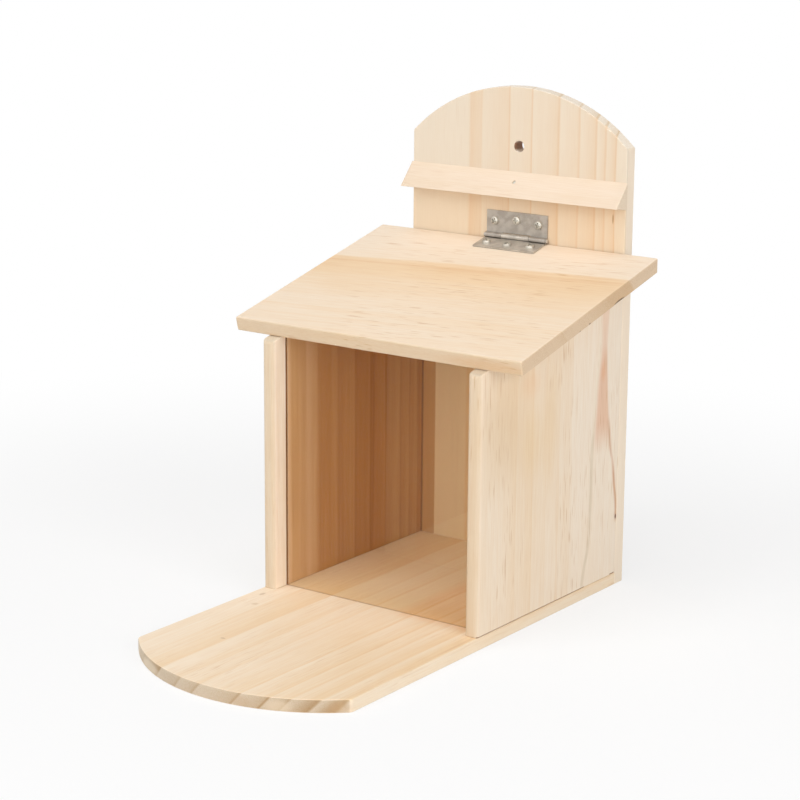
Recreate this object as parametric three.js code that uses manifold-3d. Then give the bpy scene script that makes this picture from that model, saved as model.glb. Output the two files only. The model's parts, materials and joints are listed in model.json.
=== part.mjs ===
// Squirrel feeder box in bare softwood, millimetres, +Z up, front towards -Y.
// A round-fronted floor carries two side walls, and both butt against a tall arched back board.
// A clear pane stands in grooves of the walls, and a sloping lid hangs on one butt hinge.
// A wedge-shaped rain strip above the hinge sheds water and stops the opened lid.

import * as THREE from 'three';
import { mergeVertices } from 'three/addons/utils/BufferGeometryUtils.js';
import Module from 'manifold-3d';

// Boards
const boxWidth = 175.4;
const floorThickness = 8.6;
const wallThickness = 10;
const backThickness = 10.5;
const wallDepth = 172.4;
const wallFrontHeight = 172.6;
const roofSlopeDegrees = 14;

// Rounded ends of the floor and of the back board
const platformLength = 129.9;
const floorArchRise = 37.2;
const floorArchOffset = 2.8;
const floorCornerRadius = 5;
const backShoulderRise = 22.3;
const backArchRise = 36;
const backCornerRadius = 2;

// Hole that the feeder hangs by, a little below the shoulders of the back board
const hangingHoleDiameter = 8;
const hangingHoleDrop = 5;

// Lid
const lidThickness = 9.8;
const lidLength = 172.4;
const lidSideOverhang = 26.5;
const lidBackGap = 0.7;

// Clear front pane and its grooves
const paneThickness = 1.5;
const paneSetback = 12.8;
const grooveDepth = 5;
const grooveSideClearance = 0.3;
const paneEndClearance = 0.5;
const paneTopClearance = 3;

// Rain strip
const stripLength = 177.6;
const stripDepth = 14.4;
const stripHeight = 18.6;
const stripLipRise = 2;
const stripClearance = 10;

// Butt hinge
const hingeLength = 50;
const hingeOpenWidth = 35;
const hingeOffset = 1.6;
const leafThickness = 0.9;
const pinDiameter = 2;
const pinHeadDiameter = 3;
const pinHeadThickness = 0.8;
const middleKnuckleLength = 23;
const pinClearance = 0.1;
const knuckleClearance = 0.15;
const leafHoleSpacing = 18;
const leafHoleReach = 10.4;
const leafHoleStagger = 1.6;

// Pan-head screws of the hinge
const hingeScrewDiameter = 3;
const hingeScrewLength = 9;
const hingeScrewHeadDiameter = 6;
const hingeScrewHeadHeight = 2;
const hingeScrewRimHeight = 0.7;

// Countersunk screws that join the boards
const boardScrewDiameter = 3;
const boardScrewLength = 25;
const boardScrewHeadDiameter = 6;
const boardScrewHeadHeight = 1.8;
const boardScrewTipLength = 4;
const wallScrewInset = 30;
const backScrewFootInset = 36.4;
const backScrewTopInset = 49.2;
const floorScrewSpacing = 90;

// Cross recess in every screw head
const recessSpan = 3.4;
const recessWidth = 0.8;
const recessDepth = 0.9;

// Brad through the rain strip
const bradDiameter = 1.4;
const bradLength = 16;
const bradHeadDiameter = 2.4;
const bradHeadThickness = 0.8;
const bradDepthOnStrip = 5.9;

// Gaps and the overrun that every cut shares
const seatGap = 0.3;
const cutOverrun = 1;

// Facets round a turned piece and along an arched edge, which are counts and not sizes
const screwSides = 16;
const pinSides = 24;
const holeSides = 20;
const archSegments = 28;
const cornerSegments = 4;

// Derived places. Y is 0 at the rear face of the back board, and Z is 0 under the floor.
const halfWidth = boxWidth / 2;
const roofSlope = THREE.MathUtils.degToRad(roofSlopeDegrees);
const backFaceY = -backThickness;
const wallFrontY = backFaceY - wallDepth;
const floorShoulderY = wallFrontY - platformLength;
const totalDepth = -floorShoulderY + floorArchRise;
const wallFrontTop = floorThickness + wallFrontHeight;
const wallBackTop = wallFrontTop + wallDepth * Math.tan(roofSlope);
const lidWidth = boxWidth + 2 * lidSideOverhang;
const paneFrontY = wallFrontY + paneSetback;
const boreRadius = pinDiameter / 2 + pinClearance;
const knuckleRadius = boreRadius + leafThickness;
const pinStandOff = knuckleRadius + knuckleClearance;
const leafReach = hingeOpenWidth / 2;
const pinY = backFaceY - pinStandOff;

// The lid rides one seat gap above the wall tops, and the pin one stand-off above the lid leaf
const pinHeight = wallHeightAt(pinY) + (seatGap + lidThickness + seatGap + pinStandOff) / Math.cos(roofSlope);

// The rain strip clears the upper leaf, and the shoulders of the back board stand over the strip
const stripBottomHeight = pinHeight + leafReach + stripClearance;
const stripTopHeight = stripBottomHeight + stripHeight;
const backShoulderHeight = stripTopHeight + backShoulderRise;

const wasm = await Module();
wasm.setup();

// Height of the sloping wall tops at one place from front to back
function wallHeightAt(y) {
  return wallFrontTop + (y - wallFrontY) * Math.tan(roofSlope);
}

// Materials
const wood = new THREE.MeshStandardMaterial({ color: 0xead2ab, roughness: 0.72, metalness: 0 });
const lidWood = new THREE.MeshStandardMaterial({ color: 0xefd9b5, roughness: 0.7, metalness: 0 });
const acrylic = new THREE.MeshStandardMaterial({
  color: 0xf2f6f4,
  roughness: 0.06,
  metalness: 0,
  transparent: true,
  opacity: 0.25,
});
const zinc = new THREE.MeshStandardMaterial({ color: 0xa8a49c, roughness: 0.42, metalness: 0.9 });
const brightZinc = new THREE.MeshStandardMaterial({ color: 0xd0cdc4, roughness: 0.3, metalness: 0.9 });

// Turns a three.js geometry into a solid that can be cut and joined
function solidOf(geometry) {
  const bare = geometry.clone();
  bare.deleteAttribute('normal');
  bare.deleteAttribute('uv');
  const merged = mergeVertices(bare);
  return new wasm.Manifold(new wasm.Mesh({
    numProp: 3,
    vertProperties: new Float32Array(merged.attributes.position.array),
    triVerts: new Uint32Array(merged.index.array),
  }));
}

// Turns a solid back into a three.js geometry
function geometryOf(solid) {
  const mesh = solid.getMesh();
  const geometry = new THREE.BufferGeometry();
  geometry.setAttribute('position', new THREE.BufferAttribute(new Float32Array(mesh.vertProperties), 3));
  geometry.setIndex(new THREE.BufferAttribute(new Uint32Array(mesh.triVerts), 1));
  geometry.computeVertexNormals();
  return geometry;
}

// Cuts a list of geometries out of one geometry
function cut(geometry, cutters) {
  let solid = solidOf(geometry);
  for (const cutter of cutters) {
    solid = solid.subtract(solidOf(cutter));
  }
  return geometryOf(solid);
}

// Block between two corners
function block(low, high) {
  const size = high.map((value, axis) => value - low[axis]);
  const middle = high.map((value, axis) => (value + low[axis]) / 2);
  return new THREE.BoxGeometry(...size).translate(...middle);
}

// Round bar along X between two ends, about a point in the YZ plane
function barAlongX(radius, sides, fromX, toX, y, z) {
  const bar = new THREE.CylinderGeometry(radius, radius, toX - fromX, sides);
  return bar.rotateZ(Math.PI / 2).translate((fromX + toX) / 2, y, z);
}

// Board whose outline is drawn in the YZ plane and which spans the given width about X = centre
function sideBoard(points, width, centreX) {
  const shape = new THREE.Shape(points.map(([y, z]) => new THREE.Vector2(y, z)));
  const board = new THREE.ExtrudeGeometry(shape, { depth: width, bevelEnabled: false });
  const turn = new THREE.Matrix4().makeBasis(
    new THREE.Vector3(0, 1, 0),
    new THREE.Vector3(0, 0, 1),
    new THREE.Vector3(1, 0, 0),
  );
  return board.applyMatrix4(turn).translate(centreX - width / 2, 0, 0);
}

// Points of a quarter-round or shorter arc, ends included
function arcPoints(centreX, centreY, radius, fromAngle, toAngle, segments) {
  const points = [];
  for (let step = 0; step <= segments; step += 1) {
    const angle = fromAngle + ((toAngle - fromAngle) * step) / segments;
    points.push(new THREE.Vector2(centreX + radius * Math.cos(angle), centreY + radius * Math.sin(angle)));
  }
  return points;
}

// Outline of a board with square feet at Y = 0, straight sides and an arched far end.
// The arch is one circle with its top at X = topX, and each shoulder is eased by a small round.
function archedOutline(width, shoulder, rise, cornerRadius, topX) {
  const half = width / 2;
  const radius = (half * half + rise * rise) / (2 * rise);
  const centreY = shoulder + rise - radius;
  const easedShoulder = (x) => {
    const reach = Math.sqrt((radius - cornerRadius) ** 2 - (x - topX) ** 2);
    return { x, y: centreY + reach, meet: Math.atan2(reach, x - topX) };
  };
  const right = easedShoulder(half - cornerRadius);
  const left = easedShoulder(cornerRadius - half);
  const points = [new THREE.Vector2(-half, 0), new THREE.Vector2(half, 0)];
  points.push(...arcPoints(right.x, right.y, cornerRadius, 0, right.meet, cornerSegments));
  points.push(...arcPoints(topX, centreY, radius, right.meet, left.meet, archSegments).slice(1, -1));
  points.push(...arcPoints(left.x, left.y, cornerRadius, left.meet, Math.PI, cornerSegments));
  return new THREE.Shape(points);
}

// Body of revolution about Z from a list of [radius, height], lowest point first
function turned(profile, sides) {
  const points = profile.map(([radius, height]) => new THREE.Vector2(radius, height));
  return new THREE.LatheGeometry(points, sides).rotateX(Math.PI / 2);
}

// Cross-shaped driver recess, opening upwards at the given height
function crossRecess(topHeight) {
  const low = topHeight - recessDepth;
  const high = topHeight + cutOverrun;
  return [
    block([-recessSpan / 2, -recessWidth / 2, low], [recessSpan / 2, recessWidth / 2, high]),
    block([-recessWidth / 2, -recessSpan / 2, low], [recessWidth / 2, recessSpan / 2, high]),
  ];
}

// Pan-head screw along Z, with the underside of its head at Z = 0
function panHeadScrew() {
  const shank = hingeScrewDiameter / 2;
  const head = hingeScrewHeadDiameter / 2;
  const tip = hingeScrewDiameter;
  const body = turned([
    [0, -hingeScrewLength],
    [shank, -hingeScrewLength + tip],
    [shank, 0],
    [head, 0],
    [head, hingeScrewRimHeight],
    [recessSpan / 2 + recessWidth / 2, hingeScrewHeadHeight],
    [0, hingeScrewHeadHeight],
  ], screwSides);
  return cut(body, crossRecess(hingeScrewHeadHeight));
}

// Countersunk screw along Z, with the top of its head at Z = 0
function boardScrew() {
  const shank = boardScrewDiameter / 2;
  const body = turned([
    [0, -boardScrewLength],
    [shank, -boardScrewLength + boardScrewTipLength],
    [shank, -boardScrewHeadHeight],
    [boardScrewHeadDiameter / 2, 0],
    [0, 0],
  ], screwSides);
  return cut(body, crossRecess(0));
}

// Hole for a board screw, one seat gap larger all round, opening at Z = 0
function boardScrewHole() {
  const shank = boardScrewDiameter / 2 + seatGap;
  const head = boardScrewHeadDiameter / 2 + seatGap;
  const sunk = boardScrewHeadHeight + seatGap;
  return turned([
    [0, -boardScrewLength - 2 * seatGap],
    [shank, -boardScrewLength - 2 * seatGap],
    [shank, -sunk],
    [head, -seatGap],
    [head, cutOverrun],
    [0, cutOverrun],
  ], screwSides);
}

// Small brad along Z, with the top of its head at Z = 0
function brad() {
  return turned([
    [0, -bradLength],
    [bradDiameter / 2, -bradLength + bradDiameter],
    [bradDiameter / 2, -bradHeadThickness],
    [bradHeadDiameter / 2, -bradHeadThickness],
    [bradHeadDiameter / 2, 0],
    [0, 0],
  ], screwSides);
}

// Hole for the brad, one seat gap larger all round
function bradHole() {
  const shank = bradDiameter / 2 + seatGap;
  const head = bradHeadDiameter / 2 + seatGap;
  return turned([
    [0, -bradLength - seatGap],
    [shank, -bradLength - seatGap],
    [shank, -bradHeadThickness - seatGap],
    [head, -bradHeadThickness - seatGap],
    [head, cutOverrun],
    [0, cutOverrun],
  ], screwSides);
}

// Places of the three screws in a hinge leaf, as [along the pin, away from the pin]
function leafHolePlaces() {
  return [-1, 0, 1].map((step) => [
    step * leafHoleSpacing,
    leafHoleReach + (step === 0 ? leafHoleStagger : 0),
  ]);
}

// Hinge leaf with the pin axis on X, its plate rising along +Z and its rear face on one side of Y.
// The leaf owns either the two outer knuckles or the middle one.
function hingeLeaf(side, ownsMiddle) {
  const half = hingeLength / 2;
  const middle = middleKnuckleLength / 2;
  const rear = side * pinStandOff;
  const face = side * (pinStandOff - leafThickness);
  const room = knuckleRadius + seatGap;
  const plate = block([-half, Math.min(rear, face), 0], [half, Math.max(rear, face), leafReach]);
  const knuckles = ownsMiddle
    ? [[-middle + seatGap / 2, middle - seatGap / 2]]
    : [[-half, -middle - seatGap / 2], [middle + seatGap / 2, half]];
  const notches = ownsMiddle
    ? [[-half - cutOverrun, -middle + seatGap / 2], [middle - seatGap / 2, half + cutOverrun]]
    : [[-middle - seatGap / 2, middle + seatGap / 2]];
  let solid = solidOf(plate);
  for (const [fromX, toX] of notches) {
    solid = solid.subtract(solidOf(block([fromX, -room, -cutOverrun], [toX, room, room])));
  }
  for (const [fromX, toX] of knuckles) {
    solid = solid.add(solidOf(barAlongX(knuckleRadius, pinSides, fromX, toX, 0, 0)));
  }
  solid = solid.subtract(solidOf(
    barAlongX(boreRadius, pinSides, -half - cutOverrun, half + cutOverrun, 0, 0),
  ));
  const holeRadius = hingeScrewDiameter / 2 + seatGap;
  for (const [alongPin, fromPin] of leafHolePlaces()) {
    const hole = new THREE.CylinderGeometry(holeRadius, holeRadius, 2 * pinStandOff + cutOverrun, holeSides);
    solid = solid.subtract(solidOf(hole.translate(alongPin, rear, fromPin)));
  }
  return geometryOf(solid);
}

// Named mesh for one physical piece
function piece(name, geometry, material) {
  const mesh = new THREE.Mesh(geometry, material);
  mesh.name = name;
  return mesh;
}

// Places of the screws that join the boards: name, head position and the way the head faces
function boardScrewPlaces() {
  const wallMiddle = halfWidth - wallThickness / 2;
  const lowHeight = floorThickness + backScrewFootInset;
  const highHeight = wallBackTop - backScrewTopInset;
  const places = [];
  for (const [sideName, side] of [['left', -1], ['right', 1]]) {
    const x = side * wallMiddle;
    places.push({ name: `base_screw_${sideName}_front`, at: [x, wallFrontY + wallScrewInset, 0], down: true });
    places.push({ name: `base_screw_${sideName}_rear`, at: [x, backFaceY - wallScrewInset, 0], down: true });
    places.push({ name: `back_screw_${sideName}_lower`, at: [x, 0, lowHeight], down: false });
    places.push({ name: `back_screw_${sideName}_upper`, at: [x, 0, highHeight], down: false });
    const floorX = (side * floorScrewSpacing) / 2;
    places.push({ name: `back_screw_${sideName}_floor`, at: [floorX, 0, floorThickness / 2], down: false });
  }
  return places;
}

// Turn that sends +Z to the way a board screw's head faces: down, or out of the rear face
function boardScrewTurn(place) {
  return place.down ? Math.PI : -Math.PI / 2;
}

// Hole cutters for every board screw, in the frame of the whole feeder
function boardScrewCutters() {
  return boardScrewPlaces().map((place) => (
    boardScrewHole().rotateX(boardScrewTurn(place)).translate(...place.at)
  ));
}

// The brad stands square to the sloping face of the rain strip
const stripLipHeight = stripBottomHeight + stripLipRise;
const stripFaceDrop = stripTopHeight - stripLipHeight;
const stripFaceTilt = Math.atan2(stripFaceDrop, stripDepth);
const bradPlace = [
  hingeOffset,
  backFaceY - bradDepthOnStrip,
  stripTopHeight - (bradDepthOnStrip * stripFaceDrop) / stripDepth,
];

// Cutter for the brad, in the frame of the whole feeder
function bradCutter() {
  return bradHole().rotateX(stripFaceTilt).translate(...bradPlace);
}

// The floor is drawn backwards and then turned, so the offset of its arch changes sign
function makeFloor() {
  const length = wallDepth + platformLength;
  const outline = archedOutline(boxWidth, length, floorArchRise, floorCornerRadius, -floorArchOffset);
  const board = new THREE.ExtrudeGeometry(outline, { depth: floorThickness, bevelEnabled: false });
  board.rotateZ(Math.PI).translate(0, backFaceY, 0);
  return piece('floor_board', cut(board, boardScrewCutters()), wood);
}

function makeBackBoard() {
  const outline = archedOutline(boxWidth, backShoulderHeight, backArchRise, backCornerRadius, 0);
  const board = new THREE.ExtrudeGeometry(outline, { depth: backThickness, bevelEnabled: false });
  board.rotateX(Math.PI / 2);
  const radius = hangingHoleDiameter / 2;
  const hanging = new THREE.CylinderGeometry(radius, radius, 2 * backThickness + cutOverrun, holeSides);
  hanging.translate(hingeOffset, backFaceY / 2, backShoulderHeight - hangingHoleDrop);
  const pilot = hingeScrewHole();
  const pilots = leafHolePlaces().map(([alongPin, fromPin]) => (
    pilot.clone().rotateX(Math.PI / 2).translate(hingeOffset + alongPin, backFaceY, pinHeight + fromPin)
  ));
  return piece('back_board', cut(board, [hanging, bradCutter(), ...pilots, ...boardScrewCutters()]), wood);
}

function makeWall(name, side) {
  const outline = [
    [wallFrontY, floorThickness],
    [backFaceY, floorThickness],
    [backFaceY, wallBackTop],
    [wallFrontY, wallFrontTop],
  ];
  const wall = sideBoard(outline, wallThickness, side * (halfWidth - wallThickness / 2));
  const innerX = halfWidth - wallThickness;
  const grooveX = [side * (innerX - cutOverrun), side * (innerX + grooveDepth)];
  const groove = block(
    [Math.min(...grooveX), paneFrontY - grooveSideClearance, floorThickness - cutOverrun],
    [Math.max(...grooveX), paneFrontY + paneThickness + grooveSideClearance, wallBackTop + cutOverrun],
  );
  return piece(name, cut(wall, [groove, ...boardScrewCutters()]), wood);
}

function makePane() {
  const half = halfWidth - wallThickness + grooveDepth - paneEndClearance;
  const top = wallHeightAt(paneFrontY) - paneTopClearance;
  const pane = block([-half, paneFrontY, floorThickness], [half, paneFrontY + paneThickness, top]);
  return piece('clear_front_pane', pane, acrylic);
}

function makeRainStrip() {
  const outline = [
    [backFaceY, stripBottomHeight],
    [backFaceY, stripTopHeight],
    [backFaceY - stripDepth, stripLipHeight],
  ];
  return piece('rain_strip', cut(sideBoard(outline, stripLength, 0), [bradCutter()]), wood);
}

function makeBrad() {
  const mesh = piece('rain_strip_brad', brad(), brightZinc);
  mesh.position.set(...bradPlace);
  mesh.rotation.x = stripFaceTilt;
  mesh.translateZ(-seatGap);
  return mesh;
}

function makeBoardScrews() {
  return boardScrewPlaces().map((place) => {
    const screw = piece(place.name, boardScrew(), brightZinc);
    screw.position.set(...place.at);
    screw.rotation.x = boardScrewTurn(place);
    screw.translateZ(-seatGap);
    return screw;
  });
}

// Pilot hole for a hinge screw along Z, opening at Z = 0
function hingeScrewHole() {
  const radius = hingeScrewDiameter / 2 + seatGap;
  return turned([
    [0, -hingeScrewLength],
    [radius, -hingeScrewLength],
    [radius, cutOverrun],
    [0, cutOverrun],
  ], screwSides);
}

// Three screws whose heads stand one seat gap off a leaf. The frame of the leaf is hingeLeaf's.
function makeLeafScrews(prefix, side) {
  return leafHolePlaces().map(([alongPin, fromPin], index) => {
    const screw = piece(`${prefix}_${index + 1}`, panHeadScrew(), brightZinc);
    screw.position.set(alongPin, side * (pinStandOff - leafThickness - seatGap), fromPin);
    screw.rotation.x = (side * Math.PI) / 2;
    return screw;
  });
}

// The fixed half of the hinge: leaf, pin and screws in the back board
function makeFixedHingeHalf() {
  const half = new THREE.Group();
  half.position.set(hingeOffset, pinY, pinHeight);
  half.add(piece('hinge_upper_leaf', hingeLeaf(1, false), zinc));
  const reach = hingeLength / 2 + seatGap;
  let pin = solidOf(barAlongX(pinDiameter / 2, pinSides, -reach, reach, 0, 0));
  for (const end of [-reach - pinHeadThickness, reach]) {
    const head = barAlongX(pinHeadDiameter / 2, pinSides, end, end + pinHeadThickness, 0, 0);
    pin = pin.add(solidOf(head));
  }
  half.add(piece('hinge_pin', geometryOf(pin), zinc));
  half.add(...makeLeafScrews('hinge_upper_screw', 1));
  return half;
}

// The lid and what swings with it, in a frame on the pin axis that is turned to the roof slope
function makeLidAssembly() {
  const assembly = new THREE.Group();
  assembly.position.set(0, pinY, pinHeight);
  assembly.rotation.x = roofSlope;

  const top = -pinStandOff - seatGap;
  const underside = top - lidThickness;
  const plumbY = (pinStandOff - lidBackGap) / Math.cos(roofSlope);
  const backTopY = plumbY + top * Math.tan(roofSlope);
  const backUnderY = plumbY + underside * Math.tan(roofSlope);
  const frontY = backTopY - lidLength;
  const outline = [[frontY, underside], [backUnderY, underside], [backTopY, top], [frontY, top]];
  const pilot = hingeScrewHole();
  const pilots = leafHolePlaces().map(([alongPin, fromPin]) => (
    pilot.clone().translate(hingeOffset + alongPin, -fromPin, top)
  ));
  assembly.add(piece('lid', cut(sideBoard(outline, lidWidth, 0), pilots), lidWood));

  const hingeHalf = new THREE.Group();
  hingeHalf.position.x = hingeOffset;
  hingeHalf.rotation.x = Math.PI / 2;
  hingeHalf.add(piece('hinge_lid_leaf', hingeLeaf(-1, true), zinc));
  hingeHalf.add(...makeLeafScrews('hinge_lid_screw', -1));
  assembly.add(hingeHalf);
  return assembly;
}

// The whole feeder, with its origin under the middle of its length and width
const feeder = new THREE.Group();
feeder.position.y = totalDepth / 2;
feeder.add(makeFloor());
feeder.add(makeWall('left_wall', -1));
feeder.add(makeWall('right_wall', 1));
feeder.add(makeBackBoard());
feeder.add(makePane());
feeder.add(makeRainStrip());
feeder.add(makeBrad());
feeder.add(...makeBoardScrews());
feeder.add(makeFixedHingeHalf());
feeder.add(makeLidAssembly());
feeder.updateMatrixWorld(true);

export default feeder;
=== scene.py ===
"""Dressed model of a softwood squirrel feeder box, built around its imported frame.

Metres, +Z up, with the round front of the floor towards -Y. Boards, hinge, screws and pane are modelled
with eased arrises, rolled knuckles and driver recesses, and every finish is procedural.
"""

import json
import logging
import math
from dataclasses import dataclass, field, fields
from enum import Enum
from typing import Callable, ClassVar, Iterable, Mapping, Optional, Sequence, Union

import bmesh
import bpy
from mathutils import Matrix, Quaternion, Vector, noise


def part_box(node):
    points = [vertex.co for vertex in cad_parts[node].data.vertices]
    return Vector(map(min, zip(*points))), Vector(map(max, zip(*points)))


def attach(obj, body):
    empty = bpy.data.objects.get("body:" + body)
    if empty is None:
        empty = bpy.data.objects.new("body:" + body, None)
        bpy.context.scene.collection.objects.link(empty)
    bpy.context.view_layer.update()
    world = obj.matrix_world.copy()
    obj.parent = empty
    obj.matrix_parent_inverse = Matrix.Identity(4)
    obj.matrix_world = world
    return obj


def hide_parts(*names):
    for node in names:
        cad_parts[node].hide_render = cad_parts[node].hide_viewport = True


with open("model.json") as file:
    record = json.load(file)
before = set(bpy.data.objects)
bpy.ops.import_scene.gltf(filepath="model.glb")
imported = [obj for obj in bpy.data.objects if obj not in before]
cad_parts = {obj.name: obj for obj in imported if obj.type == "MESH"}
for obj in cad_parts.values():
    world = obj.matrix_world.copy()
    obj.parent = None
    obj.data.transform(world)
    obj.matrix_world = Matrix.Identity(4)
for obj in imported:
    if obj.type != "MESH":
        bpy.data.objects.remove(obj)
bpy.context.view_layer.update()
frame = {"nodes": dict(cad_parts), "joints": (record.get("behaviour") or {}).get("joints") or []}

MM = 0.001
OVER = 1 * MM            # how far a cutter stands out of the face that it cuts
X_AXIS, Y_AXIS, Z_AXIS = Vector((1, 0, 0)), Vector((0, 1, 0)), Vector((0, 0, 1))
SHARP_ANGLE = math.radians(32)
SMOOTH_ANGLE = math.radians(34)
WHITE = (1.0, 1.0, 1.0, 1.0)

Solid = bmesh.types.BMesh
Thing = bpy.types.Object
Pair = tuple[float, float]
Triple = tuple[float, float, float]
Outline = Sequence[Pair]
Seat = tuple[Vector, Vector]

log = logging.getLogger("feeder")


class Body(Enum):
    """Moving body that a piece rides on."""

    BOX = "box"
    LID = "lid"
    PANE = "pane"


class Slot(Enum):
    """Material slot of the record, one for each kind of finish."""

    WOOD = "softwood"
    LID_WOOD = "lid_softwood"
    ACRYLIC = "clear_acrylic"
    HINGE = "hinge_zinc"
    SCREW = "screw_zinc"


class Side(Enum):
    """Side of the box, as the sign of X."""

    LEFT = -1
    RIGHT = 1


# Mesh work that every piece shares


@dataclass(frozen=True)
class Basis:
    """Places a drawing in the feeder: u and v lie in the drawing, and w goes through the thickness."""

    u: Vector
    v: Vector
    w: Vector
    origin: Vector = field(default_factory=lambda: Vector((0, 0, 0)))

    def place(self, u: float, v: float, w: float) -> Vector:
        """Gives the place of one drawn point."""
        return self.origin + self.u * u + self.v * v + self.w * w


FROM_SIDE = Basis(Y_AXIS, Z_AXIS, X_AXIS)
FROM_FRONT = Basis(X_AXIS, Z_AXIS, Y_AXIS)
FROM_ABOVE = Basis(X_AXIS, Y_AXIS, Z_AXIS)


def extruded(points: Outline, near: float, far: float, basis: Basis) -> Solid:
    """Gives a drawn outline a thickness.

    Args:
        points: Outline as (u, v) points, without a repeated last point.
        near: Depth at which the solid starts.
        far: Depth at which the solid ends.
        basis: Where the drawing lies.

    Returns:
        A closed solid with its faces pointing out.
    """
    solid = bmesh.new()
    low, high = ([solid.verts.new(basis.place(u, v, depth)) for u, v in points] for depth in (near, far))
    solid.faces.new(low)
    solid.faces.new(reversed(high))
    for index in range(len(points)):
        after = (index + 1) % len(points)
        solid.faces.new((low[after], low[index], high[index], high[after]))
    bmesh.ops.recalc_face_normals(solid, faces=solid.faces)
    return solid


def block(low: Vector, high: Vector) -> Solid:
    """Makes a rectangular solid between two corners."""
    outline = [(low.x, low.y), (high.x, low.y), (high.x, high.y), (low.x, high.y)]
    return extruded(outline, low.z, high.z, FROM_ABOVE)


def turned(profile: Outline, sides: int, place: Vector, aim: Vector) -> Solid:
    """Makes a turned solid.

    Args:
        profile: (radius, height) points that start and end on the axis, lowest first.
        sides: Facets round the axis.
        place: Where the profile's zero height lies.
        aim: Direction of the profile's height.

    Returns:
        A closed solid with its faces pointing out.
    """
    solid = bmesh.new()
    turn = aim.to_track_quat("Z", "Y")
    rings: list[list[bmesh.types.BMVert]] = []
    for radius, height in profile:
        count = sides if radius > 0 else 1
        angles = [2 * math.pi * step / sides for step in range(count)]
        spots = [Vector((radius * math.cos(a), radius * math.sin(a), height)) for a in angles]
        rings.append([solid.verts.new(place + turn @ spot) for spot in spots])
    for lower, upper in zip(rings, rings[1:]):
        for step in range(sides):
            after = (step + 1) % sides
            corners = [lower[step % len(lower)], lower[after % len(lower)],
                       upper[after % len(upper)], upper[step % len(upper)]]
            solid.faces.new(list(dict.fromkeys(corners)))
    bmesh.ops.recalc_face_normals(solid, faces=solid.faces)
    return solid


def linked(name: str, data: Optional[bpy.types.ID]) -> Thing:
    """Puts an object with this data into the scene.

    Args:
        name: Name of the object.
        data: What it shows, such as a mesh or a lamp.

    Returns:
        The object.
    """
    thing = bpy.data.objects.new(name, data)
    bpy.context.scene.collection.objects.link(thing)
    return thing


def object_of(name: str, solid: Solid) -> Thing:
    """Puts a solid into the scene as an object at the origin.

    Args:
        name: Name of the object.
        solid: What it shows. It is used up.

    Returns:
        The object.
    """
    mesh = bpy.data.meshes.new(name)
    solid.to_mesh(mesh)
    solid.free()
    return linked(name, mesh)


def modified(thing: Thing, kind: str, **settings: object) -> None:
    """Puts one modifier on an object, sets its options and makes its result the object's mesh.

    Args:
        thing: Object whose mesh changes.
        kind: Blender's name of the modifier.
        settings: Its options.
    """
    step = thing.modifiers.new(kind.lower(), kind)
    for key, value in settings.items():
        setattr(step, key, value)
    remesh(thing)


def remesh(thing: Thing) -> None:
    """Turns what an object's modifiers make into its own plain mesh.

    Args:
        thing: Object whose mesh changes.
    """
    depsgraph = bpy.context.evaluated_depsgraph_get()
    mesh = bpy.data.meshes.new_from_object(thing.evaluated_get(depsgraph))
    thing.modifiers.clear()
    thing.data = mesh


def ease(thing: Thing, radius: float, segments: int,
         other_radius: Callable[[bmesh.types.BMEdge], Optional[float]] = lambda edge: None) -> None:
    """Rounds the sharp arrises of an object.

    Args:
        thing: Object whose mesh changes.
        radius: Largest radius, which every sharp arris gets unless it has one of its own.
        segments: Facets across each rounding.
        other_radius: Gives the radius of an arris that has one of its own, and None for the rest.
    """
    solid = bmesh.new()
    solid.from_mesh(thing.data)
    solid.normal_update()
    weights = solid.edges.layers.float.new("bevel_weight_edge")
    for edge in solid.edges:
        if edge.calc_face_angle(0.0) > SHARP_ANGLE:
            own = other_radius(edge)
            edge[weights] = 1.0 if own is None else own / radius
    solid.to_mesh(thing.data)
    solid.free()
    modified(thing, "BEVEL", limit_method="WEIGHT", width=radius, segments=segments)


def joined(solids: Iterable[Solid]) -> Solid:
    """Puts separate solids into one mesh.

    Args:
        solids: The solids, which are used up.

    Returns:
        One mesh with all of them.
    """
    whole = bmesh.new()
    for solid in solids:
        scratch = bpy.data.meshes.new("scratch")
        solid.to_mesh(scratch)
        solid.free()
        whole.from_mesh(scratch)
        bpy.data.meshes.remove(scratch)
    return whole


def combine(thing: Thing, other: Solid, operation: str) -> None:
    """Cuts a solid out of an object with DIFFERENCE, or adds it with UNION. The solid is used up.

    Args:
        thing: Object whose mesh changes.
        other: The solid.
        operation: DIFFERENCE or UNION.
    """
    tool = object_of("tool", other)
    modified(thing, "BOOLEAN", operation=operation, solver="EXACT", object=tool)
    bpy.data.objects.remove(tool)


def soften(thing: Thing) -> None:
    """Shades shallow bends smoothly and keeps the others crisp."""
    thing.data.shade_smooth()
    thing.data.set_sharp_from_angle(angle=SMOOTH_ANGLE)


def smooth(thing: Thing) -> None:
    """Shades curved faces smoothly and keeps flat faces even and crisp."""
    soften(thing)
    modified(thing, "WEIGHTED_NORMAL", keep_sharp=True)


def chip(place: Vector, along: Vector, length: float, reach: float, seed: float) -> Solid:
    """Makes the boat-shaped piece that breaks out of an arris.

    Args:
        place: Middle of the chip on the arris.
        along: Direction of the arris.
        length: Length of the chip.
        reach: How far it goes into the board.
        seed: Makes each chip's edge its own.

    Returns:
        A closed solid to cut with.
    """
    unevenness, bumps = 0.35, 1.7
    solid = bmesh.new()
    bmesh.ops.create_icosphere(solid, subdivisions=3, radius=1.0)
    turn = along.to_track_quat("X", "Z")
    for vert in solid.verts:
        wobble = 1 + unevenness * noise.noise(vert.co * bumps + Vector((seed,) * 3))
        spot = Vector((vert.co.x * length / 2, vert.co.y * reach, vert.co.z * reach)) * wobble
        vert.co = place + turn @ spot
    bmesh.ops.recalc_face_normals(solid, faces=solid.faces)
    return solid


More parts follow.
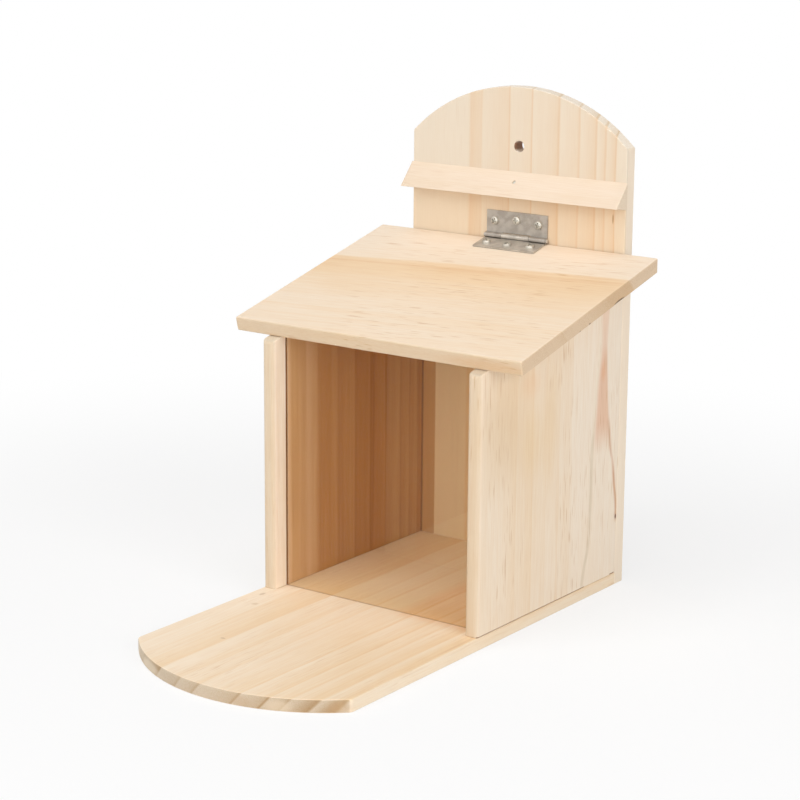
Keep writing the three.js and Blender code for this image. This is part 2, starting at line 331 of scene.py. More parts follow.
def dress(thing: Thing, material: bpy.types.Material, body: Body, nodes: Sequence[str]) -> Thing:
    """Gives a finished piece its material, its body and the nodes that it stands for.

    Args:
        thing: The piece.
        material: Its finish.
        body: What it moves with.
        nodes: CAD nodes that it replaces.

    Returns:
        The piece.
    """
    thing.data.name = thing.name
    thing.data.materials.clear()
    thing.data.materials.append(material)
    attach(thing, body.value)
    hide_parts(*nodes)
    log.info("%s: %d faces, rides on %s", thing.name, len(thing.data.polygons), body.value)
    return thing


def extent(node: str, direction: Vector) -> Pair:
    """Gives how far a CAD node reaches along a direction, lowest first."""
    reaches = [vert.co.dot(direction) for vert in frame["nodes"][node].data.vertices]
    return min(reaches), max(reaches)


# Node trees


def sum_of(operation: str) -> Callable[["Signal", "Value"], "Signal"]:
    """Makes the operator that adds one kind of sum to a signal's tree."""
    return lambda first, second: first.nodes.maths(operation, first, second)


class Signal:
    """Output of a node, which sums can be done with as with a number."""

    __add__, __sub__ = sum_of("ADD"), sum_of("SUBTRACT")
    __mul__, __truediv__ = sum_of("MULTIPLY"), sum_of("DIVIDE")

    def __init__(self, nodes: "Nodes", socket: bpy.types.NodeSocket) -> None:
        """Keeps the socket with its tree."""
        self.nodes, self.socket = nodes, socket

    def scaled(self, factor: "Value", plus: "Value") -> "Signal":
        """Multiplies by one value, then adds the other."""
        return self.nodes.maths("MULTIPLY_ADD", self, factor, plus)

    def step(self, low: float, high: float, bottom: float = 0.0, top: float = 1.0) -> "Signal":
        """Rises smoothly from bottom to top while this signal goes from low to high.

        Args:
            low: Value at which the rise starts.
            high: Value at which it ends.
            bottom: Result before the rise.
            top: Result after it.

        Returns:
            The result.
        """
        if low > high:
            low, high, bottom, top = high, low, top, bottom
        return self.nodes.signal("ShaderNodeMapRange", {0: self, 1: low, 2: high, 3: bottom, 4: top},
                                 interpolation_type="SMOOTHSTEP")


Value = Union[Signal, float, str, Sequence[float]]
Inputs = Mapping[Union[str, int], Value]


class Nodes:
    """Node tree while it is being built."""

    def __init__(self, tree: bpy.types.NodeTree) -> None:
        """Starts with the tree emptied."""
        self.tree = tree
        tree.nodes.clear()

    def feed(self, socket: bpy.types.NodeSocket, value: Value) -> None:
        """Links a socket to a signal, or sets its value.

        Args:
            socket: Input of a node.
            value: What it gets.
        """
        if isinstance(value, Signal):
            self.tree.links.new(value.socket, socket)
        else:
            socket.default_value = value

    def node(self, kind: str, inputs: Optional[Inputs] = None, **settings: object) -> bpy.types.Node:
        """Adds a node.

        Args:
            kind: Blender's name of the node.
            inputs: What its sockets get, by name or number.
            settings: Its options.

        Returns:
            The node.
        """
        made = self.tree.nodes.new(kind)
        for key, value in settings.items():
            setattr(made, key, value)
        for key, value in (inputs or {}).items():
            self.feed(made.inputs[key], value)
        return made

    def signal(self, kind: str, inputs: Optional[Inputs] = None, output: Union[str, int] = 0,
               **settings: object) -> Signal:
        """Adds a node and gives one of its outputs."""
        return Signal(self, self.node(kind, inputs, **settings).outputs[output])

    def maths(self, operation: str, *values: Value, clamp: bool = False) -> Signal:
        """Adds one sum and gives its result."""
        return self.signal("ShaderNodeMath", dict(enumerate(values)), operation=operation, use_clamp=clamp)

    def vector(self, *parts: Value) -> Signal:
        """Joins three numbers."""
        return self.signal("ShaderNodeCombineXYZ", dict(enumerate(parts)))

    def split(self, vector: Signal) -> list[Signal]:
        """Gives the three numbers of a vector."""
        return [Signal(self, part) for part in self.node("ShaderNodeSeparateXYZ", {0: vector}).outputs]

    def blend(self, share: Signal, first: Signal, second: Signal, output: str) -> None:
        """Mixes two surfaces into the tree's output node, named by its kind."""
        mixed = self.signal("ShaderNodeMixShader", {0: share, 1: first, 2: second})
        self.node(output, {"Surface": mixed})

    def seen_share(self) -> Signal:
        """Gives 1 for rays of the camera, mirrors and glass, and 0 for the light on matt surfaces."""
        path = self.node("ShaderNodeLightPath").outputs
        camera, mirror, glass = (Signal(self, path[f"Is {kind} Ray"])
                                 for kind in ("Camera", "Glossy", "Transmission"))
        return self.maths("MAXIMUM", self.maths("MAXIMUM", camera, mirror), glass)


def hue(code: str) -> tuple[float, float, float, float]:
    """Turns a colour written as six hexadecimal digits into the linear one that a node holds.

    Args:
        code: The six digits.

    Returns:
        Red, green, blue and an alpha of 1.
    """
    parts = [int(code[start:start + 2], 16) / 255 for start in (0, 2, 4)]
    linear = [part / 12.92 if part <= 0.04045 else ((part + 0.055) / 1.055) ** 2.4 for part in parts]
    return (*linear, 1.0)


class Shading(Nodes):
    """Shader tree of one material while it is being built."""

    def __init__(self, name: str) -> None:
        """Starts an empty material.

        Args:
            name: Name of the material.
        """
        self.material = bpy.data.materials.new(name)
        self.material.use_nodes = True
        super().__init__(self.material.node_tree)

    def source(self, name: str) -> Signal:
        """Gives the place on the object, Object, or the way that its surface faces, Normal."""
        return self.signal("ShaderNodeTexCoord", output=name)

    def mix(self, share: Value, first: Value, second: Value, blend: str = "MIX") -> Signal:
        """Mixes two colours, each a signal or written as hexadecimal digits.

        Args:
            share: How much the second colour counts.
            first: Colour at a share of 0.
            second: Colour that is mixed in.
            blend: Blender's name of the way of mixing.

        Returns:
            The mixed colour.
        """
        first, second = (hue(colour) if isinstance(colour, str) else colour for colour in (first, second))
        return self.signal("ShaderNodeMix", {0: share, 6: first, 7: second}, 2, data_type="RGBA",
                           blend_type=blend)

    def noise(self, place: Signal, detail: float = 2.0, roughness: float = 0.5) -> Signal:
        """Adds a noise of scale 1 and gives its height, from 0 to 1."""
        return self.signal("ShaderNodeTexNoise", {"Vector": place, "Scale": 1.0, "Detail": detail,
                                                  "Roughness": roughness})

    def clouds(self, scale: Triple, detail: float) -> Signal:
        """Gives a noise with so many features per metre each way."""
        place = self.signal("ShaderNodeMapping", {"Vector": self.source("Object"), "Scale": scale})
        return self.noise(place, detail, 0.6)

    def ramp(self, share: Signal, stops: Sequence[Pair]) -> Signal:
        """Adds a ramp of greys whose (place, grey) stops are given in order.

        Args:
            share: Place on the ramp, from 0 to 1.
            stops: The stops.

        Returns:
            The grey there.
        """
        made = self.node("ShaderNodeValToRGB", {0: share})
        points = made.color_ramp.elements
        for index, (place, grey) in enumerate((stops[0], stops[-1])):
            points[index].position, points[index].color = place, (grey, grey, grey, 1.0)
        for place, grey in stops[1:-1]:
            points.new(place).color = (grey, grey, grey, 1.0)
        return Signal(self, made.outputs[0])

    def shader(self, inputs: Inputs, height: Optional[Signal] = None, strength: float = 0.0,
               distance: float = 0.0) -> bpy.types.Material:
        """Adds the surface shader, with a height as its bump, and its output.

        Args:
            inputs: What the shader's sockets get.
            height: Pattern that raises the surface.
            strength: Strength of the bump.
            distance: Height of the bump in metres.

        Returns:
            The finished material.
        """
        surface = self.node("ShaderNodeBsdfPrincipled", inputs)
        if height:
            bump = self.signal("ShaderNodeBump", {"Strength": strength, "Distance": distance,
                                                  "Height": height})
            self.feed(surface.inputs["Normal"], bump)
        self.node("ShaderNodeOutputMaterial", {"Surface": Signal(self, surface.outputs[0])})
        return self.material


# Softwood


@dataclass(frozen=True)
class GrainPlace:
    """Signals that say where a point lies in a board, in mm, and which way its surface faces."""

    shade: Shading
    across: Signal
    depth: Signal
    along: Signal
    end_grain: Signal
    edge_face: Signal
    arris: Signal

    @property
    def spot(self) -> tuple[Signal, Signal, Signal]:
        """The three signals of the place."""
        return self.across, self.depth, self.along

    def noise(self, scales: Triple, seed: float, detail: float = 2.0, roughness: float = 0.5) -> Signal:
        """Gives a noise.

        Args:
            scales: Features per mm across, in depth and along.
            seed: Moves the pattern.
            detail: Detail of the noise.
            roughness: Roughness of the noise.

        Returns:
            Its height, from 0 to 1.
        """
        parts = (socket.scaled(scale, seed * share)
                 for socket, scale, share in zip(self.spot, scales, (1.0, 0.37, 0.61)))
        return self.shade.noise(self.shade.vector(*parts), detail, roughness)


@dataclass(frozen=True)
class Ring:
    """Growth ring boundary that meets a board's face at one place, in mm, with its tone on both sides."""

    place: float
    before: float
    after: float
    line: float = 0.25
    width: float = 1.4

    def stops(self) -> list[Pair]:
        """Gives the places and tones that draw the boundary."""
        peak = min(max(self.before, self.after) + self.line, 1.0)
        return [(self.place - self.width, self.before), (self.place, peak),
                (self.place + self.width * 0.6, self.after)]


@dataclass(frozen=True)
class Patch:
    """Soft-edged patch of colour in a board, in mm: a knot, a stain, a mark or a broad tint."""

    centre: Triple
    reach: Triple
    colour: str
    share: float
    softness: float = 0.6

    def lay(self, place: GrainPlace, colour: Signal) -> Signal:
        """Lays the patch over a colour and gives the new colour.

        Args:
            place: Where a point lies in the board.
            colour: Colour so far.

        Returns:
            The new colour.
        """
        parts = [(at - middle) / reach for at, middle, reach in zip(place.spot, self.centre, self.reach)]
        squares = [part * part for part in parts]
        distance = place.shade.maths("SQRT", squares[0] + squares[1] + squares[2])
        mask = distance.step(1.0, 1.0 - self.softness, 0.0, self.share)
        return place.shade.mix(mask, colour, self.colour)


@dataclass(frozen=True)
class Field:
    """Block of deeper colour in a board, in mm, such as painted shade on the wood behind the pane. Its far
    end may fade away.
    """

    low: Triple
    high: Triple
    colour: str
    share: float = 1.0
    soft: float = 1.0
    far_soft: Optional[float] = None

    def lay(self, place: GrainPlace, colour: Signal) -> Signal:
        """Deepens a colour inside the block and gives the new colour.

        Args:
            place: Where a point lies in the board.
            colour: Colour so far.

        Returns:
            The new colour.
        """
        mask: Value = self.share
        near = (self.soft, min(self.soft, 0.8), self.soft)
        far = (*near[:2], self.far_soft or self.soft)
        for socket, low, high, low_soft, high_soft in zip(place.spot, self.low, self.high, near, far):
            mask = socket.step(low - low_soft, low) * mask * socket.step(high + high_soft, high)
        return place.shade.mix(mask, colour, self.colour, "MULTIPLY")


@dataclass(frozen=True)
class GrainLine:
    """Thin line that follows given points, each (along, across) in mm, lowest first, and dies away."""

    points: tuple[Pair, ...]
    half_width: float
    colour: str
    share: float
    dies: Pair

    def offset(self, place: GrainPlace) -> Signal:
        """Gives how far a point lies across from the line.

        Args:
            place: Where a point lies in the board.

        Returns:
            The distance in mm, with its sign.
        """
        low, high = self.points[0][0], self.points[-1][0]
        sides = [across for _, across in self.points]
        least, most = min(sides), max(sides)
        share = place.shade.maths("DIVIDE", place.along - low, high - low, clamp=True)
        curve = place.shade.node("ShaderNodeFloatCurve", {"Value": share})
        drawn = curve.mapping.curves[0].points
        shares = [((along - low) / (high - low), (across - least) / (most - least))
                  for along, across in self.points]
        drawn[0].location, drawn[1].location = shares[0], shares[-1]
        for spot in shares[1:-1]:
            drawn.new(*spot)
        curve.mapping.update()
        return place.across - Signal(place.shade, curve.outputs[0]).scaled(most - least, least)

    def lay(self, place: GrainPlace, colour: Signal) -> Signal:
        """Draws the line, fainter here and there, over a colour and gives the new colour.

        Args:
            place: Where a point lies in the board.
            colour: Colour so far.

        Returns:
            The new colour.
        """
        away = place.shade.maths("ABSOLUTE", self.offset(place))
        faint = place.noise((0.0, 0.0, 0.045), self.points[0][1])
        low, high = self.points[0][0], self.points[-1][0]
        fade = min(8.0, (high - low) / 4)
        mask = away.step(self.half_width, self.half_width * 0.2) * place.along.step(low - fade, low)
        mask = mask * place.along.step(high + fade, high) * faint.step(0.3, 0.6, 0.35, 1.0)
        mask = mask * place.along.step(self.dies[1], self.dies[0], 0.12) * self.share
        return place.shade.mix(mask, colour, self.colour)


@dataclass(frozen=True)
class Cathedral:
    """Pointed arch of grain between two lines, tinted where they close in."""

    left: GrainLine
    right: GrainLine
    colour: str
    share: float
    starts: Pair
    eases: Pair = (166.0, 178.0)

    def lay(self, place: GrainPlace, colour: Signal) -> Signal:
        """Lays the tint and both lines over a colour and gives the new colour.

        Args:
            place: Where a point lies in the board.
            colour: Colour so far.

        Returns:
            The new colour.
        """
        inside = self.left.offset(place).step(-1.0, 5.0) * self.right.offset(place).step(0.4, -1.6)
        tint = inside * place.along.step(*self.starts) * place.along.step(*self.eases, 1.0, 0.6)
        colour = place.shade.mix(tint * self.share, colour, self.colour)
        return self.right.lay(place, self.left.lay(place, colour))


Feature = Union[Patch, Field, GrainLine, Cathedral]


@dataclass(frozen=True)
class Softwood:
    """Planed, unfinished softwood: growth rings, fibres, flecks and end grain from one solid pattern.

    The origin lies on the board's best face, in metres. All places in the board are in mm from there.
    """

    origin: Vector
    across: Vector
    along: Vector
    span: Pair
    edge_tones: Pair
    rings: tuple[Ring, ...]
    seed: float
    pale: str = "f4e5d3"
    tan: str = "efd3b0"
    line: str = "dfb88e"
    end: str = "d8ccb8"
    end_line: str = "a5855e"
    # Colour multiplied into the narrow faces along the board's edges: painted shade on them.
    edge_face_shade: str = "ffffff"
    ring_lean: float = 0.4
    wander: float = 1.6
    streaks: float = 0.3
    flecks: float = 0.4
    fibres: float = 0.22
    features: tuple[Feature, ...] = ()
    marks: tuple[Feature, ...] = ()

    def place(self, shade: Shading) -> GrainPlace:
        """Adds the nodes that turn object coordinates into places in the board.

        Args:
            shade: Shader tree of the material.

        Returns:
            The places.
        """
        through = self.along.cross(self.across)
        rows = Matrix((self.across, through, self.along))
        spot = shade.signal("ShaderNodeMapping", {
            "Vector": shade.source("Object"), "Scale": (1 / MM,) * 3, "Rotation": rows.to_euler("XYZ"),
            "Location": -(rows @ self.origin) / MM}, vector_type="POINT")
        along, depth, across = (
            shade.maths("ABSOLUTE", shade.signal("ShaderNodeVectorMath", {0: shade.source("Normal"), 1: axis},
                                                 "Value", operation="DOT_PRODUCT"))
            for axis in (self.along, through, self.across))
        return GrainPlace(shade, *shade.split(spot), end_grain=along.step(0.45, 0.85),
                          edge_face=across.step(0.2, 0.8),
                          arris=depth.step(0.12, 0.5) * depth.step(0.99, 0.85))

    def tone(self, place: GrainPlace) -> Signal:
        """Gives the growth rings' tone, from 0 in early wood to 1 in late wood.

        Args:
            place: Where a point lies in the board.

        Returns:
            The tone.
        """
        low, high = self.span
        slow = place.noise((0.012, 0.012, 0.005), self.seed)
        quick = place.noise((0.06, 0.06, 0.025), self.seed * 2)
        shift = slow.scaled(2 * self.wander, -self.wander) + quick.scaled(1.4, -0.7)
        spot = place.depth.scaled(self.ring_lean, place.across) + shift
        stops = [(low, self.edge_tones[0])]
        for ring in self.rings:
            stops.extend(ring.stops())
        stops.append((high, self.edge_tones[1]))
        return place.shade.ramp((spot - low) / (high - low),
                                [((at - low) / (high - low), tone) for at, tone in stops])

    def material(self, name: str) -> bpy.types.Material:
        """Builds the material under a name.

        Args:
            name: Name of the material.

        Returns:
            The material.
        """
        shade = Shading(name)
        place = self.place(shade)
        rings = self.tone(place)
        streak = place.noise((0.34, 0.34, 0.008), self.seed * 3, 4.0, 0.62)
        fibre = place.noise((2.2, 2.2, 0.05), self.seed * 5, 3.0, 0.6)
        cloud = place.noise((0.03, 0.03, 0.012), self.seed * 7, 3.0)
        tone = rings + (streak - 0.5) * self.streaks
        tone = shade.maths("ADD", tone, (cloud - 0.5) * 0.35, clamp=True)
        colour = shade.mix(tone.step(0.0, 0.7), self.pale, self.tan)
        colour = shade.mix(tone.step(0.6, 1.0), colour, self.line)
        for feature in self.features:
            colour = feature.lay(place, colour)
        # Painted shade on the narrow edge faces.
        colour = shade.mix(place.edge_face, colour, self.edge_face_shade, "MULTIPLY")
        colour = self.add_fibres(place, colour, fibre)
        colour = self.add_end_grain(place, colour, rings)
        for mark in self.marks:
            colour = mark.lay(place, colour)
        roughness = place.end_grain.scaled(0.15, fibre.scaled(0.16, 0.5))
        return shade.shader({"Base Color": colour, "Roughness": roughness, "Specular IOR Level": 0.35},
                            fibre * 0.8 + rings * 0.5, 0.35, 0.12 * MM)

    def add_fibres(self, place: GrainPlace, colour: Signal, fibre: Signal) -> Signal:
        """Adds fine fibres and short darker flecks.

        Args:
            place: Where a point lies in the board.
            colour: Colour so far.
            fibre: Noise that runs along the fibres.

        Returns:
            The new colour.
        """
        mix = place.shade.mix
        colour = mix(fibre.step(0.62, 0.35, 0.0, self.fibres), colour, "ecd6b8", "MULTIPLY")
        dashes = place.noise((0.9, 0.6, 0.055), self.seed * 11, 1.0, 0.4).step(0.6, 0.74)
        spread = place.noise((0.02, 0.02, 0.008), self.seed * 13, 1.0).step(0.38, 0.62)
        return mix(dashes * spread * self.flecks, colour, "dfc7a8", "MULTIPLY")

    def add_end_grain(self, place: GrainPlace, colour: Signal, rings: Signal) -> Signal:
        """Adds the darker end grain and the paler arrises, partly sanding wear and partly painted highlight.

        Args:
            place: Where a point lies in the board.
            colour: Colour so far.
            rings: Tone of the growth rings.

        Returns:
            The new colour.
        """
        mix = place.shade.mix
        pores = place.noise((2.6, 2.6, 0.4), self.seed * 17, 2.0, 0.7)
        cut = mix(rings.step(0.15, 0.7), self.end, self.end_line)
        cut = mix(pores.step(0.6, 0.35, 0.0, 0.5), cut, "d8bb93", "MULTIPLY")
        # The paler arrises are partly sanding wear and partly a painted highlight.
        return mix(place.arris * 0.04, mix(place.end_grain * 0.85, colour, cut), "f8ead6")


# Other finishes


@dataclass(frozen=True)
class Zinc:
    """Zinc plate on steel, brushed by rolling, dulled in patches, with painted shade on its downward faces.
    """

    name: str
    # Tones of the bright and dulled patches. The hinge's shaded and lit copies shift both as painted light.
    bright: str
    dull: str
    roughness: float
    brushed: float
    metal: float
    underside_shade: float = 0.0

    def material(self) -> bpy.types.Material:
        """Builds the material."""
        shade = Shading(self.name)
        brush = shade.clouds((90, 2600, 2600), 3.0)
        patch = shade.clouds((160, 160, 160), 4.0)
        # Painted shade: the colour darkens where the surface faces down, as under the hinge's barrel.
        under = shade.split(shade.source("Normal"))[2].step(-0.3, -0.7, 0.0, self.underside_shade)
        colour = shade.mix(patch.step(0.35, 0.65), self.dull, self.bright)
        inputs = {"Base Color": shade.mix(under, colour, "4a423a", "MULTIPLY"), "Metallic": self.metal,
                  "Roughness": patch.scaled(0.22, self.roughness - 0.11)}
        return shade.shader(inputs, brush * self.brushed + patch * 0.3, 0.3, 0.03 * MM)


@dataclass(frozen=True)
class Acrylic:
    """Clear sheet with the faintest haze of dust, and painted brown shade along its foot."""

    foot: float
    name: str = "clear_acrylic_sheet"

    def material(self) -> bpy.types.Material:
        """Builds the material."""
        shade = Shading(self.name)
        haze = shade.clouds((45, 45, 45), 5.0).step(0.4, 0.8, 0.0, 0.05)
        # Painted shade: the sheet turns brown along its foot, where it stands on the floor.
        foot_shade = shade.split(shade.source("Object"))[2].step(self.foot + 0.6 * MM, self.foot + 0.3 * MM)
        return shade.shader({
            "Base Color": shade.mix(foot_shade, "fdfefd", "b0824c"), "Roughness": haze, "IOR": 1.4,
            "Specular IOR Level": 0.3, "Transmission Weight": 1.0, "Alpha": 0.16})


# Boards


@dataclass
class Plan:
    """Places that several pieces share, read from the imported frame."""

    roof_slope: float = math.radians(14)
    arch_rise: float = 36 * MM
    saw_cut_steps: int = 96

    def __post_init__(self) -> None:
        """Reads the frame."""
        self.floor, self.back, self.wall, self.pane = (
            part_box(node) for node in ("floor_board", "back_board", "right_wall", "clear_front_pane"))
        self.half_width = self.floor[1].x
        self.rear_y = self.back[1].y
        self.up_slope = Vector((0, math.cos(self.roof_slope), math.sin(self.roof_slope)))
        self.roof_normal = Vector((0, -math.sin(self.roof_slope), math.cos(self.roof_slope)))
        hinge = next(joint for joint in frame["joints"] if joint["name"] == "lid_hinge")
        self.pin = Vector(hinge["pos_m"])


def arched_outline(half: float, length: float, rise: float, corner: float, steps: int,
                   roughness: float, shift: float = 0.0) -> list[Pair]:
    """Draws a board with square feet at v = 0 and a sawn arch at its far end.

    Args:
        half: Half of the board's width.
        length: Whole length, arch included.
        rise: Height of the arch over its shoulders.
        corner: Radius that eases each shoulder.
        steps: Points along the arch.
        roughness: Deepest that the saw strays inwards.
        shift: How far the arch's top stands off the middle.

    Returns:
        The outline's points.
    """
    corner_steps, saw_marks, saw_seed = 4, 34, 9
    radius = (half * half + rise * rise) / (2 * rise)
    centre = length - radius
    points = [(-half, 0.0), (half, 0.0)]

    def shoulder(side: int) -> tuple[float, float, float]:
        """Gives the middle of one shoulder's rounding and the angle at which it meets the arch."""
        corner_u = side * (half - corner)
        reach = math.sqrt((radius - corner) ** 2 - (corner_u - shift) ** 2)
        return corner_u, centre + reach, math.atan2(reach, corner_u - shift)

    def rounding(u: float, v: float, start: float, end: float) -> None:
        """Draws one shoulder's rounding about its middle."""
        for step in range(corner_steps + 1):
            angle = start + (end - start) * step / corner_steps
            points.append((u + corner * math.cos(angle), v + corner * math.sin(angle)))

    right_u, right_v, first = shoulder(1)
    left_u, left_v, last = shoulder(-1)
    rounding(right_u, right_v, 0.0, first)
    for step in range(1, steps):
        angle = first + (last - first) * step / steps
        stray = 0.5 + 0.5 * noise.noise(Vector((angle * saw_marks, length * saw_seed, 0)))
        out = radius - roughness * stray
        points.append((shift + out * math.cos(angle), centre + out * math.sin(angle)))
    rounding(left_u, left_v, last, math.pi)
    return points


def screw_sinks(prefix: str, aim: Vector, face: float, shank: float, depth: float) -> list[Solid]:
    """Makes the sinks of countersunk screws.

    Args:
        prefix: Start of the names of the screws' nodes.
        aim: Direction in which the screws' heads look.
        face: Where the board's face lies along that direction.
        shank: Radius of the way for the shank.
        depth: How deep that way goes.

    Returns:
        One cutter for each screw.
    """
    rim, flare, sides = 3.3 * MM, (-2.1 * MM, -0.3 * MM), 24
    profile = [(0, -depth), (shank, -depth), (shank, flare[0]), (rim, flare[1]), (rim, OVER), (0, OVER)]
    solids = []
    for name in sorted(frame["nodes"]):
        if name.startswith(prefix):
            low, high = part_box(name)
            middle = (low + high) / 2
            solids.append(turned(profile, sides, middle + aim * (face - middle.dot(aim)), aim))
    return solids


@dataclass
class Board:
    """Planed wooden board: drawn, eased, cut, smoothed and dressed. Its own class says how."""

    plan: Plan
    arris: float = 0.7 * MM
    segments: int = 3
    node: ClassVar[str]
    body: ClassVar[Body] = Body.BOX
    slot: ClassVar[Slot] = Slot.WOOD

    def finish(self) -> Softwood:
        """Gives the wood of this board."""
        raise NotImplementedError

    def solid(self) -> Solid:
        """Gives the board before its arrises are eased."""
        raise NotImplementedError

    def cutters(self) -> list[Solid]:
        """Gives what is cut out of the board."""
        raise NotImplementedError

    def radius(self, edge: bmesh.types.BMEdge) -> Optional[float]:
        """Gives the radius of an arris that has one of its own."""
        return None

    def build(self) -> Thing:
        """Models and dresses the board."""
        thing = object_of(f"{self.node}_planed", self.solid())
        ease(thing, self.arris, self.segments, self.radius)
        combine(thing, joined(self.cutters()), "DIFFERENCE")
        smooth(thing)
        return dress(thing, self.finish().material(f"{self.node}_wood"), self.body, [self.node])


@dataclass
class BackBoard(Board):
    """Tall back board with an arched top, a hanging hole and screws let into its rear.

    Each nick in the sawn arch has its angle in degrees, and its length and reach in mm.
    """

    corner: float = 2 * MM
    hole_radius: float = 4 * MM
    hole_drop: float = 41 * MM
    hole_sides: int = 48
    hole_lip: float = 0.2 * MM
    roughness: float = 0.25 * MM
    shank_way: Pair = (1.65 * MM, 8 * MM)
    nicks: tuple[Triple, ...] = ((63, 5, 0.9), (59.4, 4, 0.7), (54.8, 7, 1.2), (50.8, 4.4, 0.9),
                                 (47.8, 3, 0.8))
    node: ClassVar[str] = "back_board"

    def finish(self) -> Softwood:
        """Gives the wood of this board, its rings as seen on the front face."""
        rings = (
            Ring(-38.5, 0.06, 0.46, 0.05, 2.5), Ring(-29.5, 0.34, 0.14, 0.2, 0.9),
            Ring(-6.5, 0.28, 0.06, 0.42, 1.0), Ring(12, 0.24, 0.1, 0.38, 1.0), Ring(34, 0.34, 0.1, 0.3, 1.6),
            Ring(50, 0.3, 0.14, 0.4, 1.0), Ring(63.5, 0.42, 0.16, 0.35, 1.2), Ring(71, 0.34, 0.16, 0.42, 1.0),
            Ring(79, 0.4, 0.1, 0.4, 1.0),
        )
        bore = (self.plan.pin.x / MM, 5.0, (self.plan.back[1].z - self.hole_drop) / MM)
        features = (
            Patch((78, 0, 257), (0.9, 2, 4.5), "a8794c", 0.6),
            # Painted shade inside the hanging hole's bore.
            Patch(bore, (4.2, 60, 4.2), "8a5c3a", 0.9, 0.04),
            # Painted warm shade inside the box, between the walls and under the lid; then a darker strip in
            # its left corner and a dark line at the corner joint.
            Field((-78, -2, 9), (78, 2, 226), "fff4d2"),
            Field((-78, -2, 9), (-67, 2, 226), "d2ae88"),
            Field((-78, -2, 8), (-77.2, 2, 226), "a87c54", 0.9, 0.4),
            Field((-90, -1, 268), (90, 0.9, 345), "ebecec", 1.0, 0.5),
            Field((-90, -1, 225), (90, 0.9, 267), "f1ece3", 1.0, 0.5),
        )
        origin = Vector((0, self.plan.back[0].y, 0))
        return Softwood(origin, X_AXIS, Z_AXIS, (-96, 96), (0.03, 0.06), rings, 3.1, pale="f1e1cc",
                        tan="eccdab", line="d8ae86", end="fbf4e8", end_line="e6d0b0", ring_lean=0.35,
                        wander=0.8, streaks=0.14, flecks=0.1, fibres=0.08, features=features)

    def solid(self) -> Solid:
        """Draws the board from the front."""
        low, high = self.plan.back
        outline = arched_outline(self.plan.half_width, high.z, self.plan.arch_rise, self.corner,
                                 self.plan.saw_cut_steps, self.roughness)
        return extruded(outline, low.y, high.y, FROM_FRONT)

    def cutters(self) -> list[Solid]:
        """Makes the hanging hole, the screw sinks in the rear and nicks along the sawn arch."""
        low, high = self.plan.back
        hole = Vector((self.plan.pin.x, low.y, high.z - self.hole_drop))
        depth, radius, lip = high.y - low.y, self.hole_radius, self.hole_lip
        wide = radius + lip + OVER
        bore = turned([(0, -OVER), (wide, -OVER), (radius, lip), (radius, depth - lip), (wide, depth + OVER),
                       (0, depth + OVER)], self.hole_sides, hole, Y_AXIS)
        solids = [bore, *screw_sinks("back_screw", Y_AXIS, high.y, *self.shank_way)]
        radius = (self.plan.half_width ** 2 + self.plan.arch_rise ** 2) / (2 * self.plan.arch_rise)
        for index, (angle, length, reach) in enumerate(self.nicks):
            turn = math.radians(angle)
            spot = Vector((radius * math.cos(turn), low.y, high.z - radius + radius * math.sin(turn)))
            run = Vector((-math.sin(turn), 0, math.cos(turn)))
            solids.append(chip(spot, run, length * MM, reach * MM, index * 4.3))
        return solids


